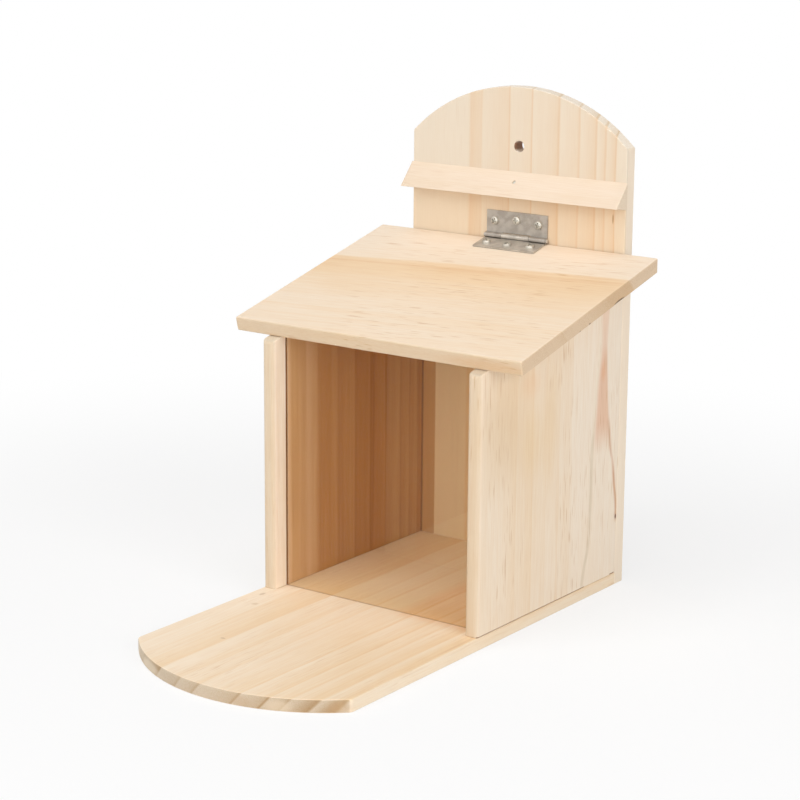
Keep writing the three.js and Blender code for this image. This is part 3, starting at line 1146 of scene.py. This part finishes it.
@dataclass
class FloorBoard(Board):
    """Floor board whose front is a round platform."""

    corner: float = 5 * MM
    arch_rise: float = 37.2 * MM
    arch_offset: float = 2.8 * MM
    roughness: float = 0.2 * MM
    shank_way: Pair = (1.7 * MM, 9.6 * MM)
    node: ClassVar[str] = "floor_board"

    def finish(self) -> Softwood:
        """Gives the wood of this board, its rings as seen on the top face."""
        rings = (
            Ring(-80, 0.2, 0.16, 0.06), Ring(-63, 0.22, 0.3, 0.1, 3.0), Ring(-40, 0.5, 0.2, 0.1, 3.0),
            Ring(-18, 0.34, 0.2, 0.1, 2.4), Ring(-2, 0.36, 0.2, 0.12, 2.0), Ring(28, 0.4, 0.24, 0.2, 1.6),
            Ring(46, 0.44, 0.28, 0.24, 1.6), Ring(58, 0.4, 0.26, 0.12, 2.0), Ring(73, 0.52, 0.24, 0.12, 3.0),
            Ring(86, 0.56, 0.24, 0.1, 4.0),
        )
        features = (
            Patch((-43, 0, -279), (2.6, 3, 1.4), "c9a982", 0.55),
            Patch((-70, 0, -214), (3, 3, 3), "dcc09a", 0.5),
            Patch((-79, 0, -195), (2, 3, 4), "c9a982", 0.5),
            # The first three fields paint the shade inside the box behind the pane, and the fourth a thin
            # shadow along the pane's foot.
            Field((-78, -2, -168.5), (78, 2, 0), "fffaec", 1.0, 0.4),
            Field((-78, -2, -168.5), (78, 2, -162), "f2ece0", 1.0, 0.4, 48.0),
            Field((24, -2, -168), (78, 2, -20), "fff3ea", 1.0, 14.0),
            Field((-78, -2, -169.7), (78, 2, -168.4), "b98d5a", 0.35, 0.3),
        )
        marks = (
            Patch((-57, 5.4, -335), (22, 5.4, 16), "dccdb6", 0.7),
            Patch((28, 5.4, -347), (9, 5.2, 9), "b89a78", 0.4, 0.7),
            Patch((51, 5.4, -340), (11, 5.2, 11), "dac6aa", 0.5, 0.7),
            Patch((83, 5.4, -322), (9, 5.2, 14), "b8946c", 0.4, 0.7),
        )
        origin = Vector((0, self.plan.rear_y, self.plan.floor[1].z))
        return Softwood(origin, X_AXIS, Y_AXIS, (-98, 98), (0.14, 0.2), rings, 5.7, pale="fdedd7",
                        tan="f5d8b0", line="dfb488", end="c6b8a4", end_line="98784f", ring_lean=0.85,
                        wander=2.4, streaks=0.45, edge_face_shade="f6f6f5", features=features, marks=marks)

    def solid(self) -> Solid:
        """Draws the board from above, its arch to the front."""
        low, high = self.plan.floor
        outline = arched_outline(self.plan.half_width, high.y - low.y, self.arch_rise, self.corner,
                                 self.plan.saw_cut_steps, self.roughness, self.arch_offset)
        return extruded(outline, low.z, high.z, Basis(X_AXIS, -Y_AXIS, Z_AXIS, Vector((0, high.y, 0))))

    def cutters(self) -> list[Solid]:
        """Makes the screw sinks in the underside."""
        return screw_sinks("base_screw", -Z_AXIS, 0.0, *self.shank_way)


@dataclass
class SideWall(Board):
    """Side wall with a sloping top, pencil-rounded front arrises and a groove for the pane."""

    arris: float = 3 * MM
    segments: int = 5
    side: Side = Side.RIGHT
    small_arris: float = 0.7 * MM
    groove_depth: float = 5 * MM
    groove_clearance: float = 0.3 * MM

    @property
    def node(self) -> str:
        """Name of the CAD node that this wall replaces."""
        return f"{self.side.name.lower()}_wall"

    def finish(self) -> Softwood:
        """Gives the wood of this wall. Places across it are mm in front of the box's rear face, negative."""
        return self.right_finish() if self.side is Side.RIGHT else self.left_finish()

    def right_finish(self) -> Softwood:
        """Gives the right wall's wood, with its pointed grain and pin knot behind."""
        rings = (
            Ring(-160, 0.3, 0.26, 0.05), Ring(-140, 0.4, 0.3, 0.1), Ring(-121, 0.42, 0.3, 0.1),
            Ring(-104, 0.34, 0.28, 0.06), Ring(-88, 0.34, 0.28, 0.08), Ring(-74, 0.32, 0.12, 0.04, 3.0),
        )
        left = GrainLine(((12, -55), (24, -52), (36, -48.5), (48, -47), (80, -46), (100, -46),
                          (125, -43.5), (145, -42), (160, -40), (172, -38.5), (190, -39), (205, -40)),
                         3.0, "cdb998", 0.45, (104, 128))
        right = GrainLine(((54, -12), (60, -12.4), (73, -15), (88, -17.5), (103, -22), (125, -25),
                           (145, -27), (160, -28.5), (172, -29), (190, -28), (205, -26.5)),
                          2.2, "cf9e78", 0.8, (112, 130))
        features = (
            Patch((-125, 0, 165), (16, 30, 14), "ecc8a4", 0.45, 0.9),
            Patch((-122, 0, 125), (22, 30, 34), "e6c99c", 0.4, 0.9),
            Patch((-156, 0, 146), (38, 8, 64), "e1c6a2", 0.62, 0.9),
            Patch((-100, 0, 135), (14, 6, 60), "e8cba2", 0.5, 0.9),
            Cathedral(left, right, "e4bea2", 0.9, (96, 124)),
            Patch((-33.5, 0, 157), (4.5, 8, 11), "e2ac84", 0.5, 0.9),
            Patch((-12, 0, 50), (2.2, 12, 6.0), "c99a70", 0.6, 0.9),
            Patch((-12, 0, 50), (1.3, 12, 2.3), "5e361c", 0.95),
            # Both fields paint a thin shadow along the wall's foot, where it meets the floor.
            Field((-186, -1, 7), (-52, 1, 9.1), "94704c", 1.0, 0.4),
            Field((-17.5, -1, 7), (-12.5, 1, 9.3), "94704c", 1.0, 0.6),
        )
        origin = Vector((self.plan.half_width, self.plan.rear_y, 0))
        return Softwood(origin, Y_AXIS, Z_AXIS, (-190, 0), (0.3, 0.12), rings, 8.3, pale="f1e3d1",
                        tan="ead0ae", edge_face_shade="e6e2db", ring_lean=0.2, wander=1.2, flecks=0.6,
                        features=features)

    def left_finish(self) -> Softwood:
        """Gives the left wall's wood, striped on its inner face."""
        rings = (
            Ring(-163, 0.15, 0.6, 0.05, 2.6), Ring(-149, 0.6, 0.2, 0.0, 4.0), Ring(-133, 0.3, 0.7, 0.05, 4.0),
            Ring(-112, 0.4, 0.75, 0.1, 2.4), Ring(-92, 0.35, 0.75, 0.2, 1.6), Ring(-74, 0.4, 0.75, 0.2, 1.6),
            Ring(-56, 0.45, 0.8, 0.2, 1.4), Ring(-38, 0.3, 0.7, 0.3, 1.2), Ring(-27, 0.3, 0.7, 0.3, 1.0),
            Ring(-17, 0.25, 0.7, 0.3, 1.0),
        )
        features = (
            # The first two fields paint the shade inside the box behind the pane, deeper towards the rear;
            # the third paints shade in the pane's groove.
            Field((-168, -1.5, 0), (-5, 1, 240), "e8cfb1", 1.0, 0.4),
            Field((-120, -1.5, 0), (-5, 1, 240), "e9d2a5", 1.0, 34.0),
            Field((-171, 0.3, 0), (-167, 6, 240), "d8a878", 1.0, 0.2),
            Field((-11.7, -1.5, 0), (-5, 1, 240), "a87c54", 0.9, 0.4),
        )
        thickness = self.plan.wall[1].x - self.plan.wall[0].x
        origin = Vector((thickness - self.plan.half_width, self.plan.rear_y, 0))
        return Softwood(origin, Y_AXIS, Z_AXIS, (-190, 0), (0.1, 0.55), rings, 11.9, pale="f8e9d6",
                        tan="e4c79e", line="cfa976", ring_lean=0.25, wander=1.4, streaks=0.8, flecks=0.2,
                        edge_face_shade="e2ddd4", features=features)

    def solid(self) -> Solid:
        """Draws the wall from the side."""
        low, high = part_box(self.node)
        drop = (high.y - low.y) * math.tan(self.plan.roof_slope)
        outline = [(low.y, low.z), (high.y, low.z), (high.y, high.z), (low.y, high.z - drop)]
        return extruded(outline, low.x, high.x, FROM_SIDE)

    def radius(self, edge: bmesh.types.BMEdge) -> Optional[float]:
        """Gives the small radius to every arris but those up the front face and over its top.

        Args:
            edge: Arris of the wall.

        Returns:
            The small radius, or None for the large one.
        """
        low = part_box(self.node)[0]
        at_front = all(vert.co.y < low.y + MM for vert in edge.verts)
        at_foot = all(vert.co.z < low.z + MM for vert in edge.verts)
        return None if at_front and not at_foot else self.small_arris

    def cutters(self) -> list[Solid]:
        """Makes the cutter for the pane's groove."""
        low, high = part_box(self.node)
        pane_low, pane_high = self.plan.pane
        inner, outwards = low.x if self.side is Side.RIGHT else high.x, self.side.value
        near, far = sorted((inner - outwards * OVER, inner + outwards * self.groove_depth))
        return [block(Vector((near, pane_low.y - self.groove_clearance, low.z - OVER)),
                      Vector((far, pane_high.y + self.groove_clearance, high.z + OVER)))]


@dataclass
class Lid(Board):
    """Sloping lid, its back edge cut plumb, with a splinter torn from its lower right arris."""

    arris: float = 1.0 * MM
    segments: int = 4
    splinter_place: float = 119 * MM
    splinter_length: float = 20 * MM
    splinter_reach: float = 1.1 * MM
    splinter_seed: float = 2.6
    grain_turn: float = math.radians(5)
    node: ClassVar[str] = "lid"
    body: ClassVar[Body] = Body.LID
    slot: ClassVar[Slot] = Slot.LID_WOOD

    def __post_init__(self) -> None:
        """Measures the CAD lid."""
        self.front = extent("lid", self.plan.up_slope)[0]
        self.under, self.top = extent("lid", self.plan.roof_normal)
        self.sides = extent("lid", X_AXIS)

    def finish(self) -> Softwood:
        """Gives the lid's wood. Places across it are mm up the slope from its front edge."""
        plan = self.plan
        turn = Quaternion(plan.roof_normal, self.grain_turn)
        origin = plan.up_slope * self.front + plan.roof_normal * self.top
        rings = (
            Ring(16, 0.26, 0.24, 0.06, 1.6), Ring(24, 0.28, 0.24, 0.08, 1.2), Ring(38, 0.34, 0.2, 0.12, 1.4),
            Ring(48, 0.26, 0.22, 0.06, 1.2), Ring(62, 0.3, 0.28, 0.06, 1.6), Ring(96, 0.5, 0.66, 0.0, 4.0),
            Ring(116, 0.78, 0.8, 0.1, 2.0), Ring(122, 0.7, 0.14, 0.0, 4.5),
        )
        marks = (
            # Painted shade in the splinter's hollow over the torn wood's own darker colour, then two small
            # dark marks.
            Patch((109, -9.6, 124), (9.5, 2.2, 2.4), "553a22", 0.95, 0.5),
            Patch((71, -9.6, 120.6), (1.8, 1.8, 1.5), "6e4e34", 0.7),
            Patch((59, -9.6, 119.5), (1.2, 1.6, 1.5), "7a5a3e", 0.6),
        )
        return Softwood(origin, turn @ plan.up_slope, turn @ X_AXIS, (-12, 186), (0.24, 0.02), rings, 14.2,
                        pale="f5e4cf", tan="f0d4b0", line="e8c398", end="ddc5a8", end_line="d3b592",
                        ring_lean=0.5, wander=2.2, streaks=0.5, flecks=0.6, edge_face_shade="e1dcd3",
                        features=(Patch((-8, -6, 88), (9, 5.6, 62), "eecaa2", 0.6, 0.8),), marks=marks)

    def solid(self) -> Solid:
        """Draws the lid from the side."""
        plan, back_y = self.plan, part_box("lid")[1].y
        low_back, high_back = ((back_y + height * math.sin(plan.roof_slope)) / math.cos(plan.roof_slope)
                               for height in (self.under, self.top))
        outline = [(self.front, self.under), (low_back, self.under), (high_back, self.top),
                   (self.front, self.top)]
        return extruded(outline, *self.sides, Basis(plan.up_slope, plan.roof_normal, X_AXIS))

    def cutters(self) -> list[Solid]:
        """Makes the splinter."""
        up_slope, across = self.plan.up_slope, self.plan.roof_normal * self.under + X_AXIS * self.sides[1]
        spot = up_slope * (self.front + self.splinter_place) + across
        return [chip(spot, up_slope, self.splinter_length, self.splinter_reach, self.splinter_seed)]


@dataclass
class RainStrip(Board):
    """Wedge-shaped strip that sheds rain in front of the hinge."""

    arris: float = 0.45 * MM
    lip_rise: float = 2 * MM
    sink_radius: float = 1.35 * MM
    sink_sides: int = 20
    node: ClassVar[str] = "rain_strip"

    def finish(self) -> Softwood:
        """Gives the strip's wood, with its grain along the strip."""
        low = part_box("rain_strip")[0]
        rings = (
            Ring(4, 0.16, 0.08, 0.03, 2.0), Ring(11, 0.18, 0.1, 0.04, 2.0), Ring(15, 0.2, 0.1, 0.03, 1.6),
        )
        return Softwood(Vector((0, low.y, low.z)), Z_AXIS, X_AXIS, (-4, 24), (0.05, 0.12), rings, 17.3,
                        pale="e3d1bd", tan="dac19f", end="ecdcc6", end_line="cfae84", ring_lean=0.7,
                        wander=1.2, flecks=0.25)

    def solid(self) -> Solid:
        """Draws the strip from the side."""
        low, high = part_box("rain_strip")
        outline = [(high.y, low.z), (high.y, high.z), (low.y, low.z + self.lip_rise)]
        return extruded(outline, low.x, high.x, FROM_SIDE)

    def cutters(self) -> list[Solid]:
        """Makes the sink of the brad's head."""
        spot, aim = screw_sets(self.plan)["strip"].seats()[0]
        profile = [(0, -OVER), (self.sink_radius, -OVER), (self.sink_radius, OVER), (0, OVER)]
        return [turned(profile, self.sink_sides, spot, aim)]


@dataclass
class ClearPane:
    """Clear sheet that stands in the grooves, with polished arrises."""

    arris: float = 0.15 * MM
    segments: int = 2
    lift: float = 0.12 * MM

    def build(self) -> Thing:
        """Models and dresses the pane, a hair's breadth clear of the floor."""
        low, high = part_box("clear_front_pane")
        thing = object_of("clear_pane_polished", block(low + Z_AXIS * self.lift, high))
        ease(thing, self.arris, self.segments)
        smooth(thing)
        return dress(thing, Acrylic(low.z).material(), Body.PANE, ["clear_front_pane"])


# Hinge


@dataclass
class ButtHinge:
    """Butt hinge with leaves rolled round a headed pin."""

    plan: Plan
    length: float = 50 * MM
    reach: float = 17.5 * MM
    leaf: float = 0.9 * MM
    stand_off: float = 2.15 * MM
    bore_radius: float = 1.1 * MM
    middle: float = 23 * MM
    gap: float = 0.3 * MM
    hole_radius: float = 1.8 * MM
    roll_end: float = math.radians(56)
    roll_steps: int = 22
    edge: float = 0.12 * MM
    edge_angle: float = math.radians(50)
    sides: int = 24
    pin_sides: int = 28
    pin_radius: float = 1.0 * MM
    pin_head_radius: float = 1.5 * MM
    pin_head: float = 0.8 * MM
    pin_edge: float = 0.25 * MM

    def section(self, top: float) -> list[Pair]:
        """Draws the rolled leaf from its rear: a strip that runs down and curls round the pin.

        Args:
            top: Height at which the drawn strip ends.

        Returns:
            The outline, with the pin at the origin and the leaf's rear on the +u side.
        """
        half = self.leaf / 2
        roll = self.bore_radius + half
        middle = [(self.stand_off - half, top), (self.stand_off - half, roll)]
        for step in range(self.roll_steps + 1):
            angle = (self.roll_end - 2 * math.pi) * step / self.roll_steps
            middle.append((roll * math.cos(angle), roll * math.sin(angle)))
        outer, inner = [], []
        for index, (u, v) in enumerate(middle):
            before, after = middle[max(index - 1, 0)], middle[min(index + 1, len(middle) - 1)]
            run = Vector((after[0] - before[0], after[1] - before[1])).normalized() * half
            outer.append((u - run.y, v + run.x))
            inner.append((u + run.y, v - run.x))
        return outer + inner[::-1]

    def leaf_mesh(self, name: str, basis: Basis, stretches: Sequence[Pair], screws: Sequence[Seat]) -> Thing:
        """Models one leaf.

        Args:
            name: Name of the piece.
            basis: u towards the leaf's rear, v along the leaf away from the pin, w along the pin.
            stretches: Ends of each knuckle along the pin.
            screws: Place and direction of each screw.

        Returns:
            The leaf as an object without a finish.
        """
        half, clear = self.length / 2, self.bore_radius + self.leaf + self.gap
        rear, face = self.stand_off, self.stand_off - self.leaf
        plate = [(face, clear), (rear, clear), (rear, self.reach), (face, self.reach)]
        thing = object_of(name, extruded(plate, -half, half, basis))
        for start, end in stretches:
            combine(thing, extruded(self.section(clear + self.gap), start, end, basis), "UNION")
        over, radius = 3 * OVER, self.hole_radius
        hole = [(0, -over), (radius, -over), (radius, over), (0, over)]
        combine(thing, joined(turned(hole, self.sides, spot, aim) for spot, aim in screws), "DIFFERENCE")
        modified(thing, "BEVEL", width=self.edge, segments=2, limit_method="ANGLE",
                 angle_limit=self.edge_angle)
        smooth(thing)
        return thing

    def build(self, seats: dict[str, list[Seat]]) -> None:
        """Models and dresses both leaves and the pin.

        Args:
            seats: Place and direction of the screws of each leaf, by the leaf's node.
        """
        # Painted light: the box's leaf takes a darker, shaded copy of the zinc, and the lid's leaf and the
        # pin a brighter, lit copy.
        dull = Zinc("hinge_zinc_shaded", "b3aba1", "9d958b", 0.5, 0.8, 0.45, 0.85).material()
        lit_zinc = Zinc("hinge_zinc_lit", "c6beb2", "b0a89d", 0.5, 0.8, 0.45, 0.85).material()
        plan = self.plan
        half, middle, gap = self.length / 2, self.middle / 2, self.gap / 2
        fixed = Basis(Y_AXIS, Z_AXIS, X_AXIS, plan.pin)
        swinging = Basis(-plan.roof_normal, -plan.up_slope, X_AXIS, plan.pin)
        outer, inner = [(-half, -middle - gap), (middle + gap, half)], [(-middle + gap, middle - gap)]
        for name, basis, stretches, finish, body, node in (
                ("upper_leaf_rolled", fixed, outer, dull, Body.BOX, "hinge_upper_leaf"),
                ("lid_leaf_rolled", swinging, inner, lit_zinc, Body.LID, "hinge_lid_leaf")):
            leaf = self.leaf_mesh(name, basis, stretches, seats[node])
            dress(leaf, finish, body, [node])
        end, head, low = half + self.gap, self.pin_head_radius, self.pin_edge
        tip = end + self.pin_head
        half_profile = [(self.pin_radius, end), (head, end), (head, tip - low), (head - low, tip), (0, tip)]
        profile = [(radius, -height) for radius, height in reversed(half_profile)] + half_profile
        pin = object_of("hinge_pin_headed", turned(profile, self.pin_sides, plan.pin, X_AXIS))
        smooth(pin)
        dress(pin, lit_zinc, Body.BOX, ["hinge_pin"])


# Screws


@dataclass(frozen=True)
class ScrewForm:
    """Sizes of one kind of screw in mm, with height 0 where its head starts or ends."""

    head_radius: float
    shank_radius: float
    length: float
    tip: float
    neck: float
    rim_low: float
    rim_high: float
    crown: float
    recess_span: float
    recess_width: float
    recess_depth: float


PAN_HEAD = ScrewForm(head_radius=3, shank_radius=1.5, length=9, tip=3, neck=-0.3, rim_low=-0.3, rim_high=0.7,
                     crown=2, recess_span=3.8, recess_width=1, recess_depth=1.4)
COUNTERSUNK = ScrewForm(head_radius=3, shank_radius=1.5, length=25, tip=4, neck=-1.8, rim_low=-0.15,
                        rim_high=0, crown=0, recess_span=3.4, recess_width=0.8, recess_depth=1)
BRAD = ScrewForm(head_radius=1.2, shank_radius=0.7, length=16, tip=1.4, neck=-0.8, rim_low=-0.8,
                 rim_high=-0.35, crown=-0.25, recess_span=0.4, recess_width=0.4, recess_depth=0)


class ScrewTree(Nodes):
    """Geometry Nodes tree that turns a screw and sets one on every vertex, aimed by an attribute."""

    SIZES = tuple(size.name for size in fields(ScrewForm))
    DOME_SHARES = (0.25, 0.5, 0.7, 0.88)
    SIDES = 28
    AIM = "aim"

    def __init__(self) -> None:
        """Builds the tree."""
        super().__init__(bpy.data.node_groups.new("screw_set", "GeometryNodeTree"))
        sizes = [("INPUT", name, "Float") for name in self.SIZES]
        for way, name, kind in (("INPUT", "Geometry", "Geometry"), *sizes, ("INPUT", "Seed", "Int"),
                                ("INPUT", "Material", "Material"), ("OUTPUT", "Geometry", "Geometry")):
            self.tree.interface.new_socket(name, in_out=way, socket_type=f"NodeSocket{kind}")
        given = self.node("NodeGroupInput").outputs
        self.given = {socket.name: Signal(self, socket) for socket in given}
        self.node("NodeGroupOutput", {0: self.placed(self.recessed(self.lathe()))})

    def profile(self) -> tuple[list[Value], list[Value]]:
        """Gives the radii and heights of the screw's profile, tip first, crown last."""
        size = self.given
        shank, head, top = size["shank_radius"], size["head_radius"], size["rim_high"]
        bottom, rise = size["length"] * -1.0, size["crown"] - top
        radii: list[Value] = [0.0, shank, shank, head, head]
        heights: list[Value] = [bottom, bottom + size["tip"], size["neck"], size["rim_low"], top]
        for share in self.DOME_SHARES:
            angle = share * math.pi / 2
            radii.append(head * math.cos(angle))
            heights.append(rise.scaled(math.sin(angle) ** 0.8, top))
        return radii + [0.0], heights + [size["crown"]]

    def lathe(self) -> Signal:
        """Turns the profile on a grid whose second side counts the profile's points."""
        profile = self.profile()
        rows = len(profile[0])
        grid = self.signal("GeometryNodeMeshGrid", {"Size X": 1.0, "Size Y": 1.0,
                                                    "Vertices X": self.SIDES + 1, "Vertices Y": rows})
        across, along, _ = self.split(self.signal("GeometryNodeInputPosition"))
        angle = across.scaled(2 * math.pi, math.pi)
        row = self.signal("FunctionNodeFloatToInt", {0: (along + 0.5) * float(rows - 1)},
                          rounding_mode="ROUND")
        chosen = []
        for values in profile:
            switch = self.node("GeometryNodeIndexSwitch", {"Index": row}, data_type="FLOAT")
            while len(switch.index_switch_items) < rows:
                switch.index_switch_items.new()
            for index, value in enumerate(values, 1):
                self.feed(switch.inputs[index], value)
            chosen.append(Signal(self, switch.outputs[0]))
        radius, height = chosen
        place = self.vector(radius * self.maths("COSINE", angle), radius * self.maths("SINE", angle), height)
        turned_grid = self.signal("GeometryNodeSetPosition", {"Geometry": grid, "Position": place})
        return self.signal("GeometryNodeMergeByDistance", {"Geometry": turned_grid, "Distance": 0.002 * MM})

    def recessed(self, screw: Signal) -> Signal:
        """Cuts the cross recess out of the head.

        Args:
            screw: The turned screw.

        Returns:
            The screw with its recess.
        """
        size = self.given
        span, width, depth = size["recess_span"], size["recess_width"], size["recess_depth"] * 2.0
        for sides in ((span, width), (width, span)):
            bar = self.signal("GeometryNodeMeshCube", {"Size": self.vector(*sides, depth)})
            raised = self.signal("GeometryNodeTransform", {
                "Geometry": bar, "Translation": self.vector(0.0, 0.0, size["crown"])})
            screw = self.signal("GeometryNodeMeshBoolean", {"Mesh 1": screw, "Mesh 2": raised},
                                operation="DIFFERENCE", solver="EXACT")
        return screw

    def placed(self, screw: Signal) -> Signal:
        """Sets the screw on every vertex, turned about its own axis at random, and realizes it.

        Args:
            screw: The finished screw.

        Returns:
            The screws as one mesh.
        """
        aim = self.signal("GeometryNodeInputNamedAttribute", {"Name": self.AIM}, data_type="FLOAT_VECTOR")
        align = self.signal("FunctionNodeAlignRotationToVector", {"Vector": aim}, axis="Z")
        chance = self.node("FunctionNodeRandomValue", {"Seed": self.given["Seed"]}, data_type="FLOAT")
        next(socket for socket in chance.inputs if socket.identifier == "Max_001").default_value = math.pi / 2
        spin = self.signal("FunctionNodeAxisAngleToRotation", {
            "Axis": Z_AXIS, "Angle": Signal(self, chance.outputs[1])})
        both = self.signal("FunctionNodeRotateRotation", {"Rotation": align, "Rotate By": spin},
                           rotation_space="LOCAL")
        spread = self.signal("GeometryNodeInstanceOnPoints", {
            "Points": self.given["Geometry"], "Instance": screw, "Rotation": both})
        real = self.signal("GeometryNodeRealizeInstances", {"Geometry": spread})
        return self.signal("GeometryNodeSetMaterial", {"Geometry": real, "Material": self.given["Material"]})


@dataclass
class ScrewSet:
    """Screws of one form that ride on one body."""

    name: str
    form: ScrewForm
    body: Body
    nodes: tuple[str, ...]
    aims: tuple[Vector, ...]
    seed: int

    def seats(self) -> list[Seat]:
        """Gives each screw's place and direction from its CAD node, with the crown where the node's is."""
        spots = []
        for node, aim in zip(self.nodes, self.aims):
            corners = [vert.co for vert in frame["nodes"][node].data.vertices]
            middle = sum(corners, Vector()) / len(corners)
            top = extent(node, aim)[1] - max(self.form.crown, 0) * MM
            spots.append((middle + aim * (top - middle.dot(aim)), aim))
        return spots

    def build(self, tree: ScrewTree, material: bpy.types.Material) -> Thing:
        """Sets and dresses the screws.

        Args:
            tree: Tree that turns and places a screw.
            material: Finish of the screws.

        Returns:
            The screws as one piece.
        """
        seats = self.seats()
        mesh = bpy.data.meshes.new(self.name)
        mesh.from_pydata([spot for spot, _ in seats], [], [])
        aims = mesh.attributes.new(tree.AIM, "FLOAT_VECTOR", "POINT")
        aims.data.foreach_set("vector", [part for _, aim in seats for part in aim])
        thing = linked(self.name, mesh)
        step = thing.modifiers.new("screws", "NODES")
        step.node_group = tree.tree
        values = {name: getattr(self.form, name) * MM for name in tree.SIZES}
        values.update(Seed=self.seed, Material=material)
        for item in tree.tree.interface.items_tree:
            if item.in_out == "INPUT" and item.name in values:
                step[item.identifier] = values[item.name]
        remesh(thing)
        soften(thing)
        return dress(thing, material, self.body, self.nodes)


def screw_sets(plan: Plan) -> dict[str, ScrewSet]:
    """Names every set of screws and what it replaces.

    Args:
        plan: Places that several pieces share.

    Returns:
        The sets by name.
    """
    upper, lower = (tuple(f"hinge_{leaf}_screw_{number}" for number in (1, 2, 3))
                    for leaf in ("upper", "lid"))
    board = tuple(sorted(name for name in frame["nodes"] if name.startswith(("back_screw", "base_screw"))))
    board_aims = tuple(Y_AXIS if name.startswith("back") else -Z_AXIS for name in board)
    low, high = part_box("rain_strip")
    strip_normal = Vector((0, -(high.z - low.z - RainStrip.lip_rise), high.y - low.y)).normalized()
    return {
        "hinge_upper_leaf": ScrewSet("upper_leaf_screws", PAN_HEAD, Body.BOX, upper, (-Y_AXIS,) * 3, 4),
        "hinge_lid_leaf": ScrewSet("lid_leaf_screws", PAN_HEAD, Body.LID, lower, (plan.roof_normal,) * 3, 9),
        "boards": ScrewSet("board_screws", COUNTERSUNK, Body.BOX, board, board_aims, 2),
        "strip": ScrewSet("strip_brad", BRAD, Body.BOX, ("rain_strip_brad",), (strip_normal,), 1),
    }


# Stage


@dataclass(frozen=True)
class CameraView:
    """Viewpoint of the photograph, fitted to the corners of the box."""

    azimuth: float = math.radians(35.711)
    elevation: float = math.radians(13.661)
    roll: float = math.radians(0.418)
    place: Triple = (0.8587, -1.1665, 0.5036)
    lens: float = 103.32
    sensor: float = 36.0
    clip_end: float = 50.0

    def build(self) -> None:
        """Makes the camera and gives it to the scene."""
        back = Vector((math.sin(self.azimuth) * math.cos(self.elevation),
                       -math.cos(self.azimuth) * math.cos(self.elevation), math.sin(self.elevation)))
        level = Vector((math.cos(self.azimuth), math.sin(self.azimuth), 0))
        right = level * math.cos(self.roll) + back.cross(level) * math.sin(self.roll)
        data = bpy.data.cameras.new("camera")
        data.lens, data.sensor_width, data.clip_end = self.lens, self.sensor, self.clip_end
        camera = linked("camera", data)
        axes = Matrix((right, back.cross(right), back)).transposed().to_4x4()
        camera.matrix_world = Matrix.Translation(self.place) @ axes
        bpy.context.scene.camera = camera


@dataclass(frozen=True)
class Softbox:
    """Large soft lamp aimed at the feeder."""

    name: str
    place: Triple
    width: float
    power: float

    def build(self) -> None:
        """Makes the lamp."""
        data = bpy.data.lights.new(self.name, "AREA")
        data.shape, data.size, data.energy = "SQUARE", self.width, self.power
        lamp = linked(self.name, data)
        lamp.location = self.place
        lamp.rotation_euler = (Vector((0, 0, 0.15)) - lamp.location).to_track_quat("-Z", "Y").to_euler()


@dataclass(frozen=True)
class Studio:
    """White studio: an even sky, soft lamps all round and a pale floor that keeps the shadow."""

    sky: float = 0.25
    floor_colour: str = "fafafa"
    floor_reach: float = 6.0
    shadow_share: float = 0.3
    shadow_reach: Pair = (0.28, 0.8)
    lamps: tuple[Softbox, ...] = (
        Softbox("key_front_left", (-1.0, -2.4, 2.4), 1.9, 29.0),
        Softbox("fill_beside_camera", (1.0, -1.9, 0.9), 1.2, 11.0),
        Softbox("fill_front_low", (-0.1, -2.2, 0.4), 1.2, 8.0),
        Softbox("fill_right", (2.7, -0.9, 1.2), 1.7, 35.0),
        Softbox("fill_above", (0.0, -0.6, 3.2), 1.8, 28.5),
        Softbox("fill_behind", (-1.1, 2.5, 0.4), 1.0, 9.0),
    )

    def build_sky(self) -> None:
        """Makes the world: white where it is seen, and plainer where it lights."""
        world = bpy.data.worlds.new("sky")
        bpy.context.scene.world = world
        world.use_nodes = True
        nodes = Nodes(world.node_tree)
        lit, seen = (nodes.signal("ShaderNodeBackground", {"Color": WHITE, "Strength": strength})
                     for strength in (self.sky, 1.0))
        nodes.blend(nodes.seen_share(), lit, seen, "ShaderNodeOutputWorld")

    def build_floor(self) -> None:
        """Makes the floor."""
        reach = self.floor_reach
        mesh = bpy.data.meshes.new("floor")
        corners = [(-reach, -reach, 0), (reach, -reach, 0), (reach, reach, 0), (-reach, reach, 0)]
        mesh.from_pydata(corners, [], [(0, 1, 2, 3)])
        shade = Shading("studio_floor")
        matt = shade.signal("ShaderNodeBsdfDiffuse", {"Color": hue(self.floor_colour)})
        glow = shade.signal("ShaderNodeEmission", {"Color": WHITE})
        away = shade.signal("ShaderNodeVectorMath", {0: shade.source("Object")}, "Value", operation="LENGTH")
        glowing = away.step(*self.shadow_reach, 1 - self.shadow_share, 1.0)
        shade.blend(shade.seen_share() * glowing, matt, glow, "ShaderNodeOutputMaterial")
        mesh.materials.append(shade.material)
        linked("studio_floor", mesh)

    def build(self) -> None:
        """Makes the whole stage."""
        self.build_sky()
        self.build_floor()
        for lamp in self.lamps:
            lamp.build()
        bpy.context.scene.view_settings.view_transform = "Standard"


def main() -> None:
    """Builds the whole scene."""
    logging.basicConfig(level=logging.INFO, format="%(name)s: %(message)s")
    CameraView().build()
    Studio().build()
    plan = Plan()
    for board in (FloorBoard(plan), SideWall(plan, side=Side.LEFT), SideWall(plan, side=Side.RIGHT),
                  BackBoard(plan), Lid(plan), RainStrip(plan), ClearPane()):
        board.build()
    sets = screw_sets(plan)
    ButtHinge(plan).build({leaf: sets[leaf].seats() for leaf in ("hinge_upper_leaf", "hinge_lid_leaf")})
    bright = Zinc("screw_zinc_bright", "cdc9be", "b9b4a9", 0.48, 0.3, 0.7).material()
    tree = ScrewTree()
    for screws in sets.values():
        screws.build(tree, bright)


if __name__ == "__main__":
    main()
